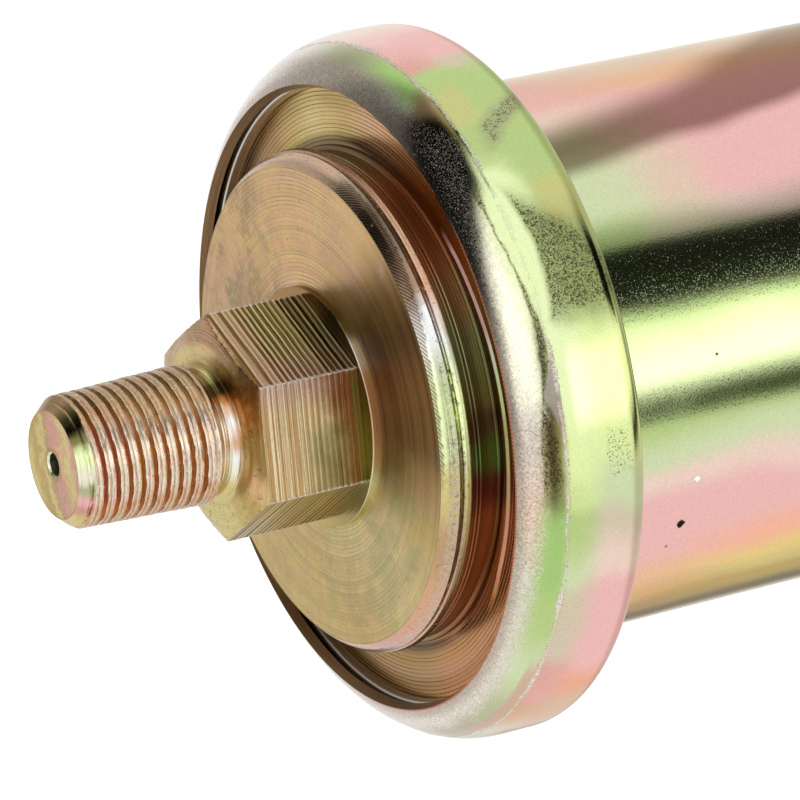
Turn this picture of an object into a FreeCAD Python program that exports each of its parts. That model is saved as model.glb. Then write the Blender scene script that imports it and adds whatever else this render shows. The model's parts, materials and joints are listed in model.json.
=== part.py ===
import FreeCAD, Part
import math
import os

# Oil pressure sender: a turned fitting with a taper thread, a crimped sheet steel can, and inside it
# a diaphragm that drives a lever and a wiper along a wound resistance card.
# Lengths are in millimetres and angles in degrees. X runs along the sender's axis, from the stud's tip
# to the electrical terminal. The origin is on the axis at the thread's gauge plane.

os.makedirs("parts", exist_ok=True)

Vector = FreeCAD.Vector
ORIGIN = Vector(0, 0, 0)
ALONG_X = Vector(1, 0, 0)
ALONG_Y = Vector(0, 1, 0)
ALONG_Z = Vector(0, 0, 1)

# Clearances
SEAT_GAP = 0.05
FIT_GAP = 0.02
RUNNING_GAP = 0.05

# Threaded stud, at the taper thread's nominal radius
THREAD_RADIUS = 5.0
GAUGE_LENGTH = 5.2
THREAD_REACH = 6.3
TIP_CHAMFER = 1.0
NECK_RADIUS = 4.65
NECK_LENGTH = 1.2
NECK_FILLET = 0.7

# Oil port and bore through the stud
PORT_RADIUS = 0.85
PORT_LENGTH = 4.0
BORE_RADIUS = 1.6
CHAMBER_INSET = 1.0
CHAMBER_DEPTH = 1.6

# Hexagon and the collar behind it
HEX_FLATS = 15.0
HEX_LENGTH = 8.7
HEX_FACE_RADIUS = 6.6
HEX_CHAMFER_ANGLE = 18.0
HEX_TURN = 9.9
COLLAR_RADIUS = 9.1
COLLAR_LENGTH = 0.4

# Disc, the undercut waist behind it and the clamped flange
DISC_INSET = 2.05
DISC_FACE_STEP = 1.02
DISC_THICKNESS = 2.2
DISC_CHAMFER = 0.45
DISC_EDGE_ROUND = 0.35
WAIST_STEP = 0.5
WAIST_LENGTH = 2.4
WAIST_FILLET = 0.4
FLANGE_THICKNESS = 3.4

# Sheet steel can with its rolled rim
SHEET = 0.8
CAN_RADIUS = 21.15
CAN_SHOULDER = 5.8
RIM_CURL = 5.8
RIM_CORNER = 1.6
LIP_ANGLE = 64.0
CAN_FILLET = 1.0
CAN_LENGTH = 45.8
CAN_CORNER = 3.0

# Bright ring between the flange and the rolled lip
RING_WIDTH = 0.78
RING_THICKNESS = 0.55

# Gasket, diaphragm, spacer and mechanism plate, clamped behind the flange
GASKET_THICKNESS = 0.8
DIAPHRAGM_THICKNESS = 0.3
WAVE_HEIGHT = 0.35
WAVE_COUNT = 4
SPACER_THICKNESS = 1.2
CLAMP_WIDTH = 10.05
PLATE_THICKNESS = 1.0
PLATE_HOLE_GAP = 0.7

# Mechanism bracket, a hat section riveted to the plate
BRACKET_SHEET = 1.0
BRACKET_BEND = 0.5
BRACKET_MARGIN = 1.1
BRACKET_HEIGHT = 8.0
BRACKET_DEPTH = 11.0
BRACKET_RIVET_RADIUS = 1.2
BRACKET_RIVET_HEAD = 0.9
BRACKET_RIVET_MARGIN = 0.3
COUNTERSINK_RADIUS = 1.9
COUNTERSINK_DEPTH = 0.6

# Pivot frame, a channel that stands on the bracket
FRAME_HALF_WIDTH = 4.0
FRAME_BACK = 7.6
FRAME_FRONT = 4.4
FRAME_MARGIN = 3.2

# Pusher with its pad, guide bush, spring and adjusting screw
PAD_RADIUS = 6.6
PAD_EDGE_GAP = 1.0
PAD_THICKNESS = 1.3
ROD_RADIUS = 1.5
ROD_RISE = 1.0
BUSH_RADIUS = 2.6
BUSH_SPIGOT = 0.8
BUSH_FLANGE_GAP = 0.1
BUSH_FLANGE = 0.8
SPRING_RADIUS = 4.6
SPRING_WIRE = 0.45
SPRING_TURNS = 3.5
SCREW_RADIUS = 1.0
SCREW_DEPTH = 4.0
SCREW_RISE = 0.8
LOCK_NUT_FLATS = 3.6
LOCK_NUT_THICKNESS = 1.2

# Lever: the pusher's stroke turns it from half its swing one way to half its swing the other way
STROKE = 1.4
NOSE_ARM = 3.2
NOSE_REACH = 4.6
NOSE_HALF_HEIGHT = 0.75
LEVER_THICKNESS = 1.5
LEVER_REACH = 12.0
LEVER_ROOT_WIDTH = 3.4
LEVER_TIP_WIDTH = 2.4
HUB_RADIUS = 1.9
HUB_SIDE_GAP = 0.1
PIN_RADIUS = 1.0
PIN_HEAD_RADIUS = 1.8
PIN_HEAD = 0.8

# Wiper spring, its rivets and its contact
WIPER_THICKNESS = 0.3
WIPER_WIDTH = 2.2
WIPER_START = 7.5
WIPER_REACH = 18.3
CONTACT_REACH = 17.0
CONTACT_RADIUS = 0.7
CONTACT_HEIGHT = 1.0
WIPER_RIVET_PLACES = (8.7, 11.0)
WIPER_RIVET_RADIUS = 0.5
WIPER_RIVET_HEAD = 0.35

# Resistance card, its winding and its bracket
CARD_WIDTH = 4.0
CARD_THICKNESS = 1.2
CARD_HALF_LENGTH = 9.6
WIRE = 0.35
TURN_PITCH = 0.55
TURN_COUNT = 17
CARD_RIVET_MARGIN = 1.5
CARD_RIVET_RADIUS = 0.8
CARD_RIVET_HEAD_RADIUS = 1.5
CARD_RIVET_HEAD = 0.5
ARM_THICKNESS = 1.5
ARM_MARGIN = 1.4
PILLAR_RADIUS = 1.8
FRAME_RIVET_GAP = 3.6
FRAME_RIVET_RADIUS = 0.7
FRAME_RIVET_HEAD = 0.4

# Contact strip from the card to the terminal
STRIP_THICKNESS = 0.4
STRIP_WIDTH = 3.0
STRIP_BEND = 0.4
EYELET_RADIUS = 4.5

# Terminal: screw, insulators, washers and nuts
TERMINAL_RADIUS = 2.5
TERMINAL_HEAD_RADIUS = 4.4
TERMINAL_HEAD = 1.5
TERMINAL_TAIL = 4.0
TERMINAL_CHAMFER = 0.4
TERMINAL_HOLE_RADIUS = 4.0
INSULATOR_RADIUS = 8.0
INSULATOR_THICKNESS = 1.6
WASHER_RADIUS = 5.0
WASHER_THICKNESS = 1.0
NUT_FLATS = 8.0
THIN_NUT_THICKNESS = 2.7
NUT_THICKNESS = 4.0
LOCK_WASHER_RADIUS = 4.4
LOCK_WASHER_THICKNESS = 1.3
LOCK_WASHER_SLIT = 0.8

# Places along the axis, from the stud's tip to the clamped stack
tip = -GAUGE_LENGTH
hex_face = THREAD_REACH + NECK_LENGTH
collar_face = hex_face + HEX_LENGTH
disc_face = collar_face + COLLAR_LENGTH
disc_back = disc_face + DISC_THICKNESS
flange_face = disc_back + WAIST_LENGTH
flange_back = flange_face + FLANGE_THICKNESS
gasket_back = flange_back + GASKET_THICKNESS
diaphragm_back = gasket_back + DIAPHRAGM_THICKNESS
spacer_back = diaphragm_back + SPACER_THICKNESS
plate_back = spacer_back + PLATE_THICKNESS

# Radii that follow the can
rim_radius = CAN_RADIUS + CAN_SHOULDER
curl_centre_radius = rim_radius - RIM_CURL
disc_radius = curl_centre_radius - DISC_INSET
disc_face_radius = disc_radius - DISC_FACE_STEP
waist_radius = disc_radius - WAIST_STEP
stack_radius = rim_radius - SHEET - 2 * SEAT_GAP
plate_radius = rim_radius - RIM_CORNER - SEAT_GAP
clamp_inner_radius = stack_radius - CLAMP_WIDTH
chamber_radius = clamp_inner_radius - CHAMBER_INSET

# Places along the axis on the can
rim_back = plate_back + SEAT_GAP + SHEET
can_end = rim_back + CAN_LENGTH
wall_face = can_end - SHEET

# Places of the mechanism
plate_hole_radius = PAD_RADIUS + PLATE_HOLE_GAP
bracket_outer_bend = BRACKET_BEND + BRACKET_SHEET
bracket_half_width = PAD_RADIUS + BRACKET_MARGIN
bracket_rivet_place = bracket_half_width + bracket_outer_bend + COUNTERSINK_RADIUS
bracket_reach = bracket_rivet_place + COUNTERSINK_RADIUS + BRACKET_RIVET_MARGIN
bridge_top = plate_back + BRACKET_HEIGHT
frame_floor = bridge_top + BRACKET_SHEET
pad_front = diaphragm_back + SEAT_GAP
pad_back = pad_front + PAD_THICKNESS
bush_top = frame_floor + BUSH_FLANGE
rod_end = bush_top + ROD_RISE
lock_nut_top = rod_end + LOCK_NUT_THICKNESS
dome_centre = lock_nut_top + SCREW_RISE
rest_angle = math.degrees(STROKE / NOSE_ARM) / 2
nose_drop = NOSE_ARM * math.tan(math.radians(rest_angle))
nose_lift = (NOSE_HALF_HEIGHT + SCREW_RADIUS) / math.cos(math.radians(rest_angle))
pivot_x = dome_centre + nose_lift + nose_drop + RUNNING_GAP
pivot_z = -NOSE_ARM
frame_outer = FRAME_HALF_WIDTH + BRACKET_SHEET
bush_flange_radius = FRAME_HALF_WIDTH - BRACKET_BEND - BUSH_FLANGE_GAP
wiper_face = LEVER_THICKNESS / 2
contact_tip = wiper_face + WIPER_THICKNESS + CONTACT_HEIGHT
winding_near = contact_tip + RUNNING_GAP
card_near = winding_near + WIRE + RUNNING_GAP
card_far = card_near + CARD_THICKNESS
card_x = pivot_x + CONTACT_REACH * (1 + math.cos(math.radians(rest_angle))) / 2
arm_far = frame_outer + ARM_THICKNESS

# Places of the terminal
insulator_front = wall_face - INSULATOR_THICKNESS
eyelet_front = insulator_front - STRIP_THICKNESS
head_front = eyelet_front - TERMINAL_HEAD
insulator_back = can_end + INSULATOR_THICKNESS
washer_back = insulator_back + WASHER_THICKNESS
thin_nut_back = washer_back + THIN_NUT_THICKNESS
lock_washer_back = thin_nut_back + LOCK_WASHER_THICKNESS
nut_back = lock_washer_back + NUT_THICKNESS
terminal_end = nut_back + TERMINAL_TAIL


def axial(x, r):
    """A point of a section that is turned round the sender's axis."""
    return Vector(x, 0, r)


def along(x, y):
    """A point of a section that is extruded along Z."""
    return Vector(x, y, 0)


def across(y, x):
    """The same for a section that is drawn with Y to the right and X up."""
    return Vector(x, y, 0)


def turned_point(point, centre, angle):
    """The point turned round the centre in the section's plane."""
    c, s = math.cos(math.radians(angle)), math.sin(math.radians(angle))
    u, v = point[0] - centre[0], point[1] - centre[1]
    return centre[0] + u * c - v * s, centre[1] + u * s + v * c


class Outline:
    """A turned piece's section, drawn with straight lines and arcs from point to point."""

    def __init__(self, x, r):
        self.start = self.end = (x, r)
        self.edges = []

    def to(self, x, r):
        self.edges.append(Part.LineSegment(axial(*self.end), axial(x, r)).toShape())
        self.end = (x, r)
        return self

    def swing(self, centre, angle):
        half = turned_point(self.end, centre, angle / 2)
        last = turned_point(self.end, centre, angle)
        arc = Part.Arc(axial(*self.end), axial(*half), axial(*last))
        self.edges.append(arc.toShape())
        self.end = last
        return self

    def turned(self):
        """The solid that the closed section makes when it is turned round the axis."""
        self.to(*self.start)
        return Part.Face(Part.Wire(self.edges)).revolve(ORIGIN, ALONG_X, 360)


def sheet_section(start, heading, steps, thickness, place=axial):
    """The section of a bent sheet. The steps follow one face, and the sheet lies on its left,
    or on its right where the thickness is negative. A step is ("run", length) or
    ("bend", radius of that face, angle)."""
    near, far = [], []
    point = start
    for kind, size, *turn in steps:
        c, s = math.cos(math.radians(heading)), math.sin(math.radians(heading))
        left = (-s, c)
        partner = (point[0] + left[0] * thickness, point[1] + left[1] * thickness)
        if kind == "run":
            step = (c * size, s * size)
            ends = [(p[0] + step[0], p[1] + step[1]) for p in (point, partner)]
            for edges, first, last in ((near, point, ends[0]), (far, partner, ends[1])):
                edges.append(Part.LineSegment(place(*first), place(*last)).toShape())
        else:
            angle = turn[0]
            side = math.copysign(size, angle)
            centre = (point[0] + left[0] * side, point[1] + left[1] * side)
            ends = []
            for edges, first in ((near, point), (far, partner)):
                half = turned_point(first, centre, angle / 2)
                last = turned_point(first, centre, angle)
                edges.append(Part.Arc(place(*first), place(*half), place(*last)).toShape())
                ends.append(last)
            heading += angle
        point, partner = ends
        if len(near) == 1:
            opening = Part.LineSegment(far[0].Vertexes[0].Point, place(*start)).toShape()
    closing = Part.LineSegment(place(*point), place(*partner)).toShape()
    return Part.Face(Part.Wire([opening] + near + [closing] + far[::-1]))


def ring(x0, x1, inner, outer):
    """A flat ring round the sender's axis."""
    return Outline(x0, inner).to(x1, inner).to(x1, outer).to(x0, outer).turned()


def rod_x(x0, x1, radius, y=0.0, z=0.0):
    return Part.makeCylinder(radius, x1 - x0, Vector(x0, y, z), ALONG_X)


def rod_y(y0, y1, radius, x, z):
    return Part.makeCylinder(radius, y1 - y0, Vector(x, y0, z), ALONG_Y)


def rivet_y(low, high, radius, head_radius, head, x, z):
    """A rivet along Y with a head outside each of two faces."""
    shank = rod_y(low - head, high + head, radius, x, z)
    heads = [rod_y(y, y + head, head_radius, x, z) for y in (low - head, high)]
    return shank.fuse(heads).removeSplitter()


def hexagon(x0, x1, flats, turn=0.0):
    """A hexagonal prism along the axis, with one corner up where the turn is 0."""
    corner = flats / math.sqrt(3)
    angles = [math.radians(turn + 60 * i) for i in range(7)]
    points = [Vector(x0, corner * math.sin(a), corner * math.cos(a)) for a in angles]
    return Part.Face(Part.makePolygon(points)).extrude(ALONG_X * (x1 - x0))


def nut(x0, x1, flats, bore):
    """A hexagon nut with both faces' corners turned down."""
    corner = flats / math.sqrt(3)
    turned = flats / 2 * 0.98
    slope = (corner - turned) * math.tan(math.radians(30))
    envelope = Outline(x0, 0).to(x0, turned).to(x0 + slope, corner + FIT_GAP)
    envelope.to(x1 - slope, corner + FIT_GAP).to(x1, turned).to(x1, 0)
    return hexagon(x0, x1, flats).common(envelope.turned()).cut(rod_x(x0, x1, bore))


def save(shape, node):
    solids = shape.Solids
    result = solids[0] if len(solids) == 1 else Part.makeCompound(solids)
    result.exportStep(f"parts/{node}.step")


def base_fitting():
    """Stud, hexagon, collar, disc, waist and flange, turned and milled from one bar."""
    bar = Outline(tip, 0).to(tip, THREAD_RADIUS - TIP_CHAMFER).to(tip + TIP_CHAMFER, THREAD_RADIUS)
    bar.to(THREAD_REACH, THREAD_RADIUS).to(THREAD_REACH + THREAD_RADIUS - NECK_RADIUS, NECK_RADIUS)
    bar.to(hex_face - NECK_FILLET, NECK_RADIUS)
    bar.swing((hex_face - NECK_FILLET, NECK_RADIUS + NECK_FILLET), 90)
    bar.to(hex_face, HEX_FACE_RADIUS).to(collar_face, HEX_FACE_RADIUS)
    bar.to(collar_face, COLLAR_RADIUS).to(disc_face, COLLAR_RADIUS)
    bar.to(disc_face, disc_face_radius).to(disc_face + DISC_CHAMFER, disc_face_radius + DISC_CHAMFER)
    bar.to(disc_back - DISC_EDGE_ROUND, disc_radius)
    bar.swing((disc_back - DISC_EDGE_ROUND, disc_radius - DISC_EDGE_ROUND), -90)
    bar.to(disc_back, waist_radius).to(flange_face - WAIST_FILLET, waist_radius)
    bar.swing((flange_face - WAIST_FILLET, waist_radius + WAIST_FILLET), 90)
    curl = RIM_CURL - SHEET - SEAT_GAP
    rise = math.degrees(math.asin(FLANGE_THICKNESS / curl))
    bar.to(flange_face, curl_centre_radius + curl * math.cos(math.radians(rise)))
    bar.swing((flange_back, curl_centre_radius), -rise)
    bar.to(flange_back, chamber_radius)
    bar.to(flange_back - CHAMBER_DEPTH, chamber_radius - CHAMBER_DEPTH)
    bar.to(flange_back - CHAMBER_DEPTH, 0)
    corner = HEX_FLATS / math.sqrt(3)
    slope = (corner - HEX_FACE_RADIUS) * math.tan(math.radians(HEX_CHAMFER_ANGLE))
    cone = Outline(hex_face, 0).to(hex_face, HEX_FACE_RADIUS).to(hex_face + slope, corner + FIT_GAP)
    cone.to(collar_face, corner + FIT_GAP).to(collar_face, 0)
    hexagonal = hexagon(hex_face, collar_face, HEX_FLATS, HEX_TURN).common(cone.turned())
    solid = bar.turned().fuse(hexagonal)
    solid = solid.cut(rod_x(tip, tip + PORT_LENGTH, PORT_RADIUS))
    solid = solid.cut(rod_x(tip + PORT_LENGTH, flange_back, BORE_RADIUS))
    save(solid.removeSplitter(), "base_fitting")


def housing_can():
    """Drawn can: rolled lip, rim, shoulder, side wall and end with the terminal's hole."""
    lip = (flange_back, curl_centre_radius + RIM_CURL)
    start = turned_point(lip, (flange_back, curl_centre_radius), LIP_ANGLE)
    steps = [
        ("bend", RIM_CURL, -LIP_ANGLE),
        ("run", rim_back - RIM_CORNER - flange_back),
        ("bend", RIM_CORNER, -90),
        ("run", rim_radius - RIM_CORNER - CAN_FILLET - CAN_RADIUS),
        ("bend", CAN_FILLET, 90),
        ("run", can_end - CAN_CORNER - rim_back - CAN_FILLET),
        ("bend", CAN_CORNER, -90),
        ("run", CAN_RADIUS - CAN_CORNER - TERMINAL_HOLE_RADIUS),
    ]
    section = sheet_section(start, LIP_ANGLE, steps, -SHEET)
    save(section.revolve(ORIGIN, ALONG_X, 360), "housing_can")


def clamped_stack():
    """The bright ring in front of the flange, and what the rim clamps behind it."""
    ring_front = flange_face - RING_THICKNESS
    curl = RIM_CURL - SHEET - SEAT_GAP
    ring_outer = curl_centre_radius + math.sqrt(curl ** 2 - (flange_back - ring_front) ** 2)
    save(ring(ring_front, flange_face, ring_outer - RING_WIDTH, ring_outer), "backing_ring")
    save(ring(flange_back, gasket_back, clamp_inner_radius, stack_radius), "gasket")
    save(ring(diaphragm_back, spacer_back, clamp_inner_radius, stack_radius), "spacer_ring")


def diaphragm():
    """Thin corrugated disc, flat under the pusher's pad and at its clamped edge."""
    inner, outer = PAD_RADIUS + PAD_EDGE_GAP, clamp_inner_radius - SEAT_GAP
    wave = (outer - inner) / WAVE_COUNT
    line = [(0, 0)]
    for i in range(WAVE_COUNT):
        height = WAVE_HEIGHT if i % 2 else -WAVE_HEIGHT
        line += [(0, inner + wave * i), (height, inner + wave * (i + 0.5))]
    line += [(0, outer), (0, stack_radius)]
    disc = Outline(gasket_back, 0)
    for height, r in line[1:]:
        disc.to(gasket_back + height, r)
    for height, r in line[::-1]:
        disc.to(diaphragm_back + height, r)
    save(disc.turned(), "diaphragm")


def bracket_places():
    return [-bracket_rivet_place, bracket_rivet_place]


def mechanism_plate():
    plate = ring(spacer_back, plate_back, plate_hole_radius, plate_radius)
    for y in bracket_places():
        plate = plate.cut(rod_x(spacer_back, plate_back, BRACKET_RIVET_RADIUS + FIT_GAP, y))
        sink = Part.makeCone(COUNTERSINK_RADIUS + FIT_GAP, BRACKET_RIVET_RADIUS + FIT_GAP,
                             COUNTERSINK_DEPTH, Vector(spacer_back, y, 0), ALONG_X)
        plate = plate.cut(sink)
    save(plate, "mechanism_plate")


def mechanism_bracket():
    """Hat section: two feet on the plate, two legs and a bridge that carries the guide bush."""
    outer_bend = bracket_outer_bend
    foot = bracket_reach - bracket_half_width - outer_bend
    leg = BRACKET_HEIGHT - BRACKET_SHEET - BRACKET_BEND - outer_bend
    span = 2 * (bracket_half_width - BRACKET_BEND)
    side = [("run", foot), ("bend", outer_bend, 90), ("run", leg), ("bend", BRACKET_BEND, -90)]
    steps = side + [("run", span)]
    steps += [("bend", BRACKET_BEND, -90), ("run", leg), ("bend", outer_bend, 90), ("run", foot)]
    start = (-bracket_reach, plate_back)
    section = sheet_section(start, 0, steps, BRACKET_SHEET, across)
    bracket = section.translated(ALONG_Z * (-BRACKET_DEPTH / 2)).extrude(ALONG_Z * BRACKET_DEPTH)
    bracket = bracket.cut(rod_x(plate_back, frame_floor, BUSH_RADIUS + FIT_GAP))
    for y in bracket_places():
        bracket = bracket.cut(rod_x(plate_back, bridge_top, BRACKET_RIVET_RADIUS + FIT_GAP, y))
    save(bracket, "mechanism_bracket")


def bracket_rivets():
    rivets = []
    top = plate_back + BRACKET_SHEET
    for y in bracket_places():
        shank = rod_x(spacer_back, top, BRACKET_RIVET_RADIUS, y)
        sunk = Part.makeCone(COUNTERSINK_RADIUS, BRACKET_RIVET_RADIUS, COUNTERSINK_DEPTH,
                             Vector(spacer_back, y, 0), ALONG_X)
        head = rod_x(top, top + BRACKET_RIVET_HEAD, COUNTERSINK_RADIUS, y)
        rivets.append(shank.fuse(sunk).fuse(head).removeSplitter())
    save(Part.makeCompound(rivets), "bracket_rivets")


def pivot_frame():
    """Channel on the bridge, whose two ears hold the pivot pin."""
    outer_bend = bracket_outer_bend
    ear = pivot_x + FRAME_MARGIN - bridge_top - outer_bend
    floor = 2 * (frame_outer - outer_bend)
    steps = [("run", ear), ("bend", outer_bend, 90), ("run", floor), ("bend", outer_bend, 90), ("run", ear)]
    start = (-frame_outer, pivot_x + FRAME_MARGIN)
    section = sheet_section(start, -90, steps, BRACKET_SHEET, across)
    frame = section.translated(ALONG_Z * -FRAME_BACK).extrude(ALONG_Z * (FRAME_BACK + FRAME_FRONT))
    frame = frame.cut(rod_x(bridge_top, frame_floor, BUSH_RADIUS + FIT_GAP))
    frame = frame.cut(rod_y(-frame_outer, frame_outer, PIN_RADIUS + FIT_GAP, pivot_x, pivot_z))
    for x, z in frame_rivet_places():
        frame = frame.cut(rod_y(0, frame_outer, FRAME_RIVET_RADIUS + FIT_GAP, x, z))
    save(frame, "pivot_frame")


def frame_rivet_places():
    z = pivot_z + FRAME_RIVET_GAP + HUB_RADIUS
    return [(pivot_x - FRAME_RIVET_GAP / 2, z), (pivot_x + FRAME_RIVET_GAP / 2, z)]


def guide_bush():
    bush = Outline(bridge_top - BRACKET_SHEET - BUSH_SPIGOT, ROD_RADIUS + RUNNING_GAP)
    bush.to(bush_top, ROD_RADIUS + RUNNING_GAP).to(bush_top, bush_flange_radius)
    bush.to(frame_floor, bush_flange_radius).to(frame_floor, BUSH_RADIUS)
    bush.to(bridge_top - BRACKET_SHEET - BUSH_SPIGOT, BUSH_RADIUS)
    save(bush.turned(), "guide_bush")


def pusher():
    """Pad and rod in one piece, bored at its end for the adjusting screw."""
    body = Outline(pad_front, 0).to(pad_front, PAD_RADIUS).to(pad_back, PAD_RADIUS)
    body.to(pad_back, ROD_RADIUS).to(rod_end, ROD_RADIUS).to(rod_end, SCREW_RADIUS + FIT_GAP)
    body.to(rod_end - SCREW_DEPTH, SCREW_RADIUS + FIT_GAP).to(rod_end - SCREW_DEPTH, 0)
    save(body.turned(), "pusher")


def adjusting_screw():
    screw = rod_x(rod_end - SCREW_DEPTH + SEAT_GAP, dome_centre, SCREW_RADIUS)
    dome = Part.makeSphere(SCREW_RADIUS, Vector(dome_centre, 0, 0))
    save(screw.fuse(dome).removeSplitter(), "adjusting_screw")
    save(nut(rod_end, lock_nut_top, LOCK_NUT_FLATS, SCREW_RADIUS + FIT_GAP), "adjusting_nut")


def return_spring():
    """Coil spring between the pad and the bracket's bridge. Its wire has eight flats."""
    low = pad_back + SPRING_WIRE + SEAT_GAP
    high = bridge_top - BRACKET_SHEET - SPRING_WIRE - SEAT_GAP
    helix = Part.makeHelix((high - low) / SPRING_TURNS, high - low, SPRING_RADIUS)
    angles = [math.radians(45 * i + 22.5) for i in range(9)]
    corner = SPRING_WIRE / math.cos(math.radians(22.5))
    section = [Vector(SPRING_RADIUS + corner * math.cos(a), 0, corner * math.sin(a)) for a in angles]
    coil = Part.Wire(helix.Edges).makePipeShell([Part.makePolygon(section)], True, True)
    coil.rotate(ORIGIN, ALONG_Y, 90)
    coil.translate(ALONG_X * low)
    save(coil, "return_spring")


def at_lever(shape):
    """Carries a shape from the lever's own place, pivot at the origin, to its place at rest."""
    shape.rotate(ORIGIN, ALONG_Y, -rest_angle)
    shape.translate(Vector(pivot_x, 0, pivot_z))
    return shape


def lever():
    """Rocker with a hub, a nose over the adjusting screw and a long arm for the wiper."""
    half = LEVER_THICKNESS / 2
    root, end = LEVER_ROOT_WIDTH / 2, LEVER_TIP_WIDTH / 2
    outline = [(0, -root), (LEVER_REACH, -end), (LEVER_REACH, end), (0, root)]
    points = [Vector(x, -half, z) for x, z in outline]
    arm = Part.Face(Part.makePolygon(points + points[:1])).extrude(ALONG_Y * LEVER_THICKNESS)
    nose = Part.makeBox(2 * NOSE_HALF_HEIGHT, LEVER_THICKNESS, NOSE_REACH,
                        Vector(-NOSE_HALF_HEIGHT, -half, 0))
    hub_half = FRAME_HALF_WIDTH - HUB_SIDE_GAP
    hub = rod_y(-hub_half, hub_half, HUB_RADIUS, 0, 0)
    body = arm.fuse(nose).fuse(hub).cut(rod_y(-hub_half, hub_half, PIN_RADIUS + RUNNING_GAP, 0, 0))
    for place in WIPER_RIVET_PLACES:
        body = body.cut(rod_y(-half, half, WIPER_RIVET_RADIUS + FIT_GAP, place, 0))
    save(at_lever(body.removeSplitter()), "lever")


def wiper():
    """Spring strip riveted to the lever's arm, and the contact button at its end."""
    half_width = WIPER_WIDTH / 2
    strip = Part.makeBox(WIPER_REACH - WIPER_START, WIPER_THICKNESS, WIPER_WIDTH,
                         Vector(WIPER_START, wiper_face, -half_width))
    strip_face = wiper_face + WIPER_THICKNESS
    rivets = []
    for place in WIPER_RIVET_PLACES:
        strip = strip.cut(rod_y(wiper_face, strip_face, WIPER_RIVET_RADIUS + FIT_GAP, place, 0))
        rivets.append(rivet_y(-wiper_face, strip_face, WIPER_RIVET_RADIUS, 2 * WIPER_RIVET_RADIUS,
                              WIPER_RIVET_HEAD, place, 0))
    dome = Vector(CONTACT_REACH, contact_tip - CONTACT_RADIUS, 0)
    contact = rod_y(strip_face, dome.y, CONTACT_RADIUS, CONTACT_REACH, 0)
    contact = contact.fuse(Part.makeSphere(CONTACT_RADIUS, dome))
    below = Part.makeBox(4 * CONTACT_RADIUS, strip_face, 4 * CONTACT_RADIUS,
                         Vector(CONTACT_REACH - 2 * CONTACT_RADIUS, 0, -2 * CONTACT_RADIUS))
    save(at_lever(strip), "wiper_spring")
    save(at_lever(Part.makeCompound(rivets)), "wiper_rivets")
    save(at_lever(contact.cut(below).removeSplitter()), "wiper_contact")


def pivot_pin():
    pin = rod_y(-frame_outer - PIN_HEAD, frame_outer - SEAT_GAP, PIN_RADIUS, pivot_x, pivot_z)
    head = rod_y(-frame_outer - PIN_HEAD, -frame_outer, PIN_HEAD_RADIUS, pivot_x, pivot_z)
    save(pin.fuse(head).removeSplitter(), "pivot_pin")


def card_rivet_places():
    place = CARD_HALF_LENGTH - CARD_RIVET_MARGIN
    return [pivot_z - place, pivot_z + place]


def resistor_card():
    """Insulating card with the resistance wire wound round its middle."""
    low = Vector(card_x - CARD_WIDTH / 2, card_near, pivot_z - CARD_HALF_LENGTH)
    card = Part.makeBox(CARD_WIDTH, CARD_THICKNESS, 2 * CARD_HALF_LENGTH, low)
    for z in card_rivet_places():
        card = card.cut(rod_y(card_near, card_far, CARD_RIVET_RADIUS + FIT_GAP, card_x, z))
    save(card, "resistor_card")
    inner = (CARD_WIDTH / 2 + RUNNING_GAP, CARD_THICKNESS / 2 + RUNNING_GAP)
    outer = (inner[0] + WIRE, inner[1] + WIRE)
    middle = (card_near + card_far) / 2
    turns = []
    for i in range(TURN_COUNT):
        z = pivot_z + (i - (TURN_COUNT - 1) / 2) * TURN_PITCH - WIRE / 2
        block, hole = [
            Part.makeBox(2 * u, 2 * v, WIRE, Vector(card_x - u, middle - v, z)) for u, v in (outer, inner)
        ]
        turns.append(block.cut(hole))
    save(Part.makeCompound(turns), "resistance_winding")


def resistor_bracket():
    """Insulating arm on the pivot frame's ear, with two pillars that carry the card."""
    low_z, high_z = pivot_z - CARD_HALF_LENGTH, pivot_z + CARD_HALF_LENGTH
    near_x = pivot_x - FRAME_MARGIN
    head_x = card_x - CARD_WIDTH / 2 - ARM_MARGIN
    far_x = card_x + CARD_WIDTH / 2 + ARM_MARGIN
    outline = [(near_x, -FRAME_BACK), (head_x, -FRAME_BACK), (head_x, low_z), (far_x, low_z),
               (far_x, high_z), (head_x, high_z), (head_x, FRAME_FRONT), (near_x, FRAME_FRONT)]
    points = [Vector(x, frame_outer, z) for x, z in outline]
    arm = Part.Face(Part.makePolygon(points + points[:1])).extrude(ALONG_Y * ARM_THICKNESS)
    for z in card_rivet_places():
        arm = arm.fuse(rod_y(card_far, frame_outer, PILLAR_RADIUS, card_x, z))
        arm = arm.cut(rod_y(card_far, arm_far, CARD_RIVET_RADIUS + FIT_GAP, card_x, z))
    for x, z in frame_rivet_places():
        arm = arm.cut(rod_y(frame_outer, arm_far, FRAME_RIVET_RADIUS + FIT_GAP, x, z))
    save(arm.removeSplitter(), "resistor_bracket")


def resistor_rivets():
    strip_top = arm_far + STRIP_THICKNESS
    places = zip(card_rivet_places(), (arm_far, strip_top))
    rivets = [
        rivet_y(card_near, top, CARD_RIVET_RADIUS, CARD_RIVET_HEAD_RADIUS, CARD_RIVET_HEAD, card_x, z)
        for z, top in places
    ]
    save(Part.makeCompound(rivets), "card_rivets")
    rivets = [
        rivet_y(FRAME_HALF_WIDTH, arm_far, FRAME_RIVET_RADIUS, 2 * FRAME_RIVET_RADIUS, FRAME_RIVET_HEAD, x, z)
        for x, z in frame_rivet_places()
    ]
    save(Part.makeCompound(rivets), "frame_rivets")


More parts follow.
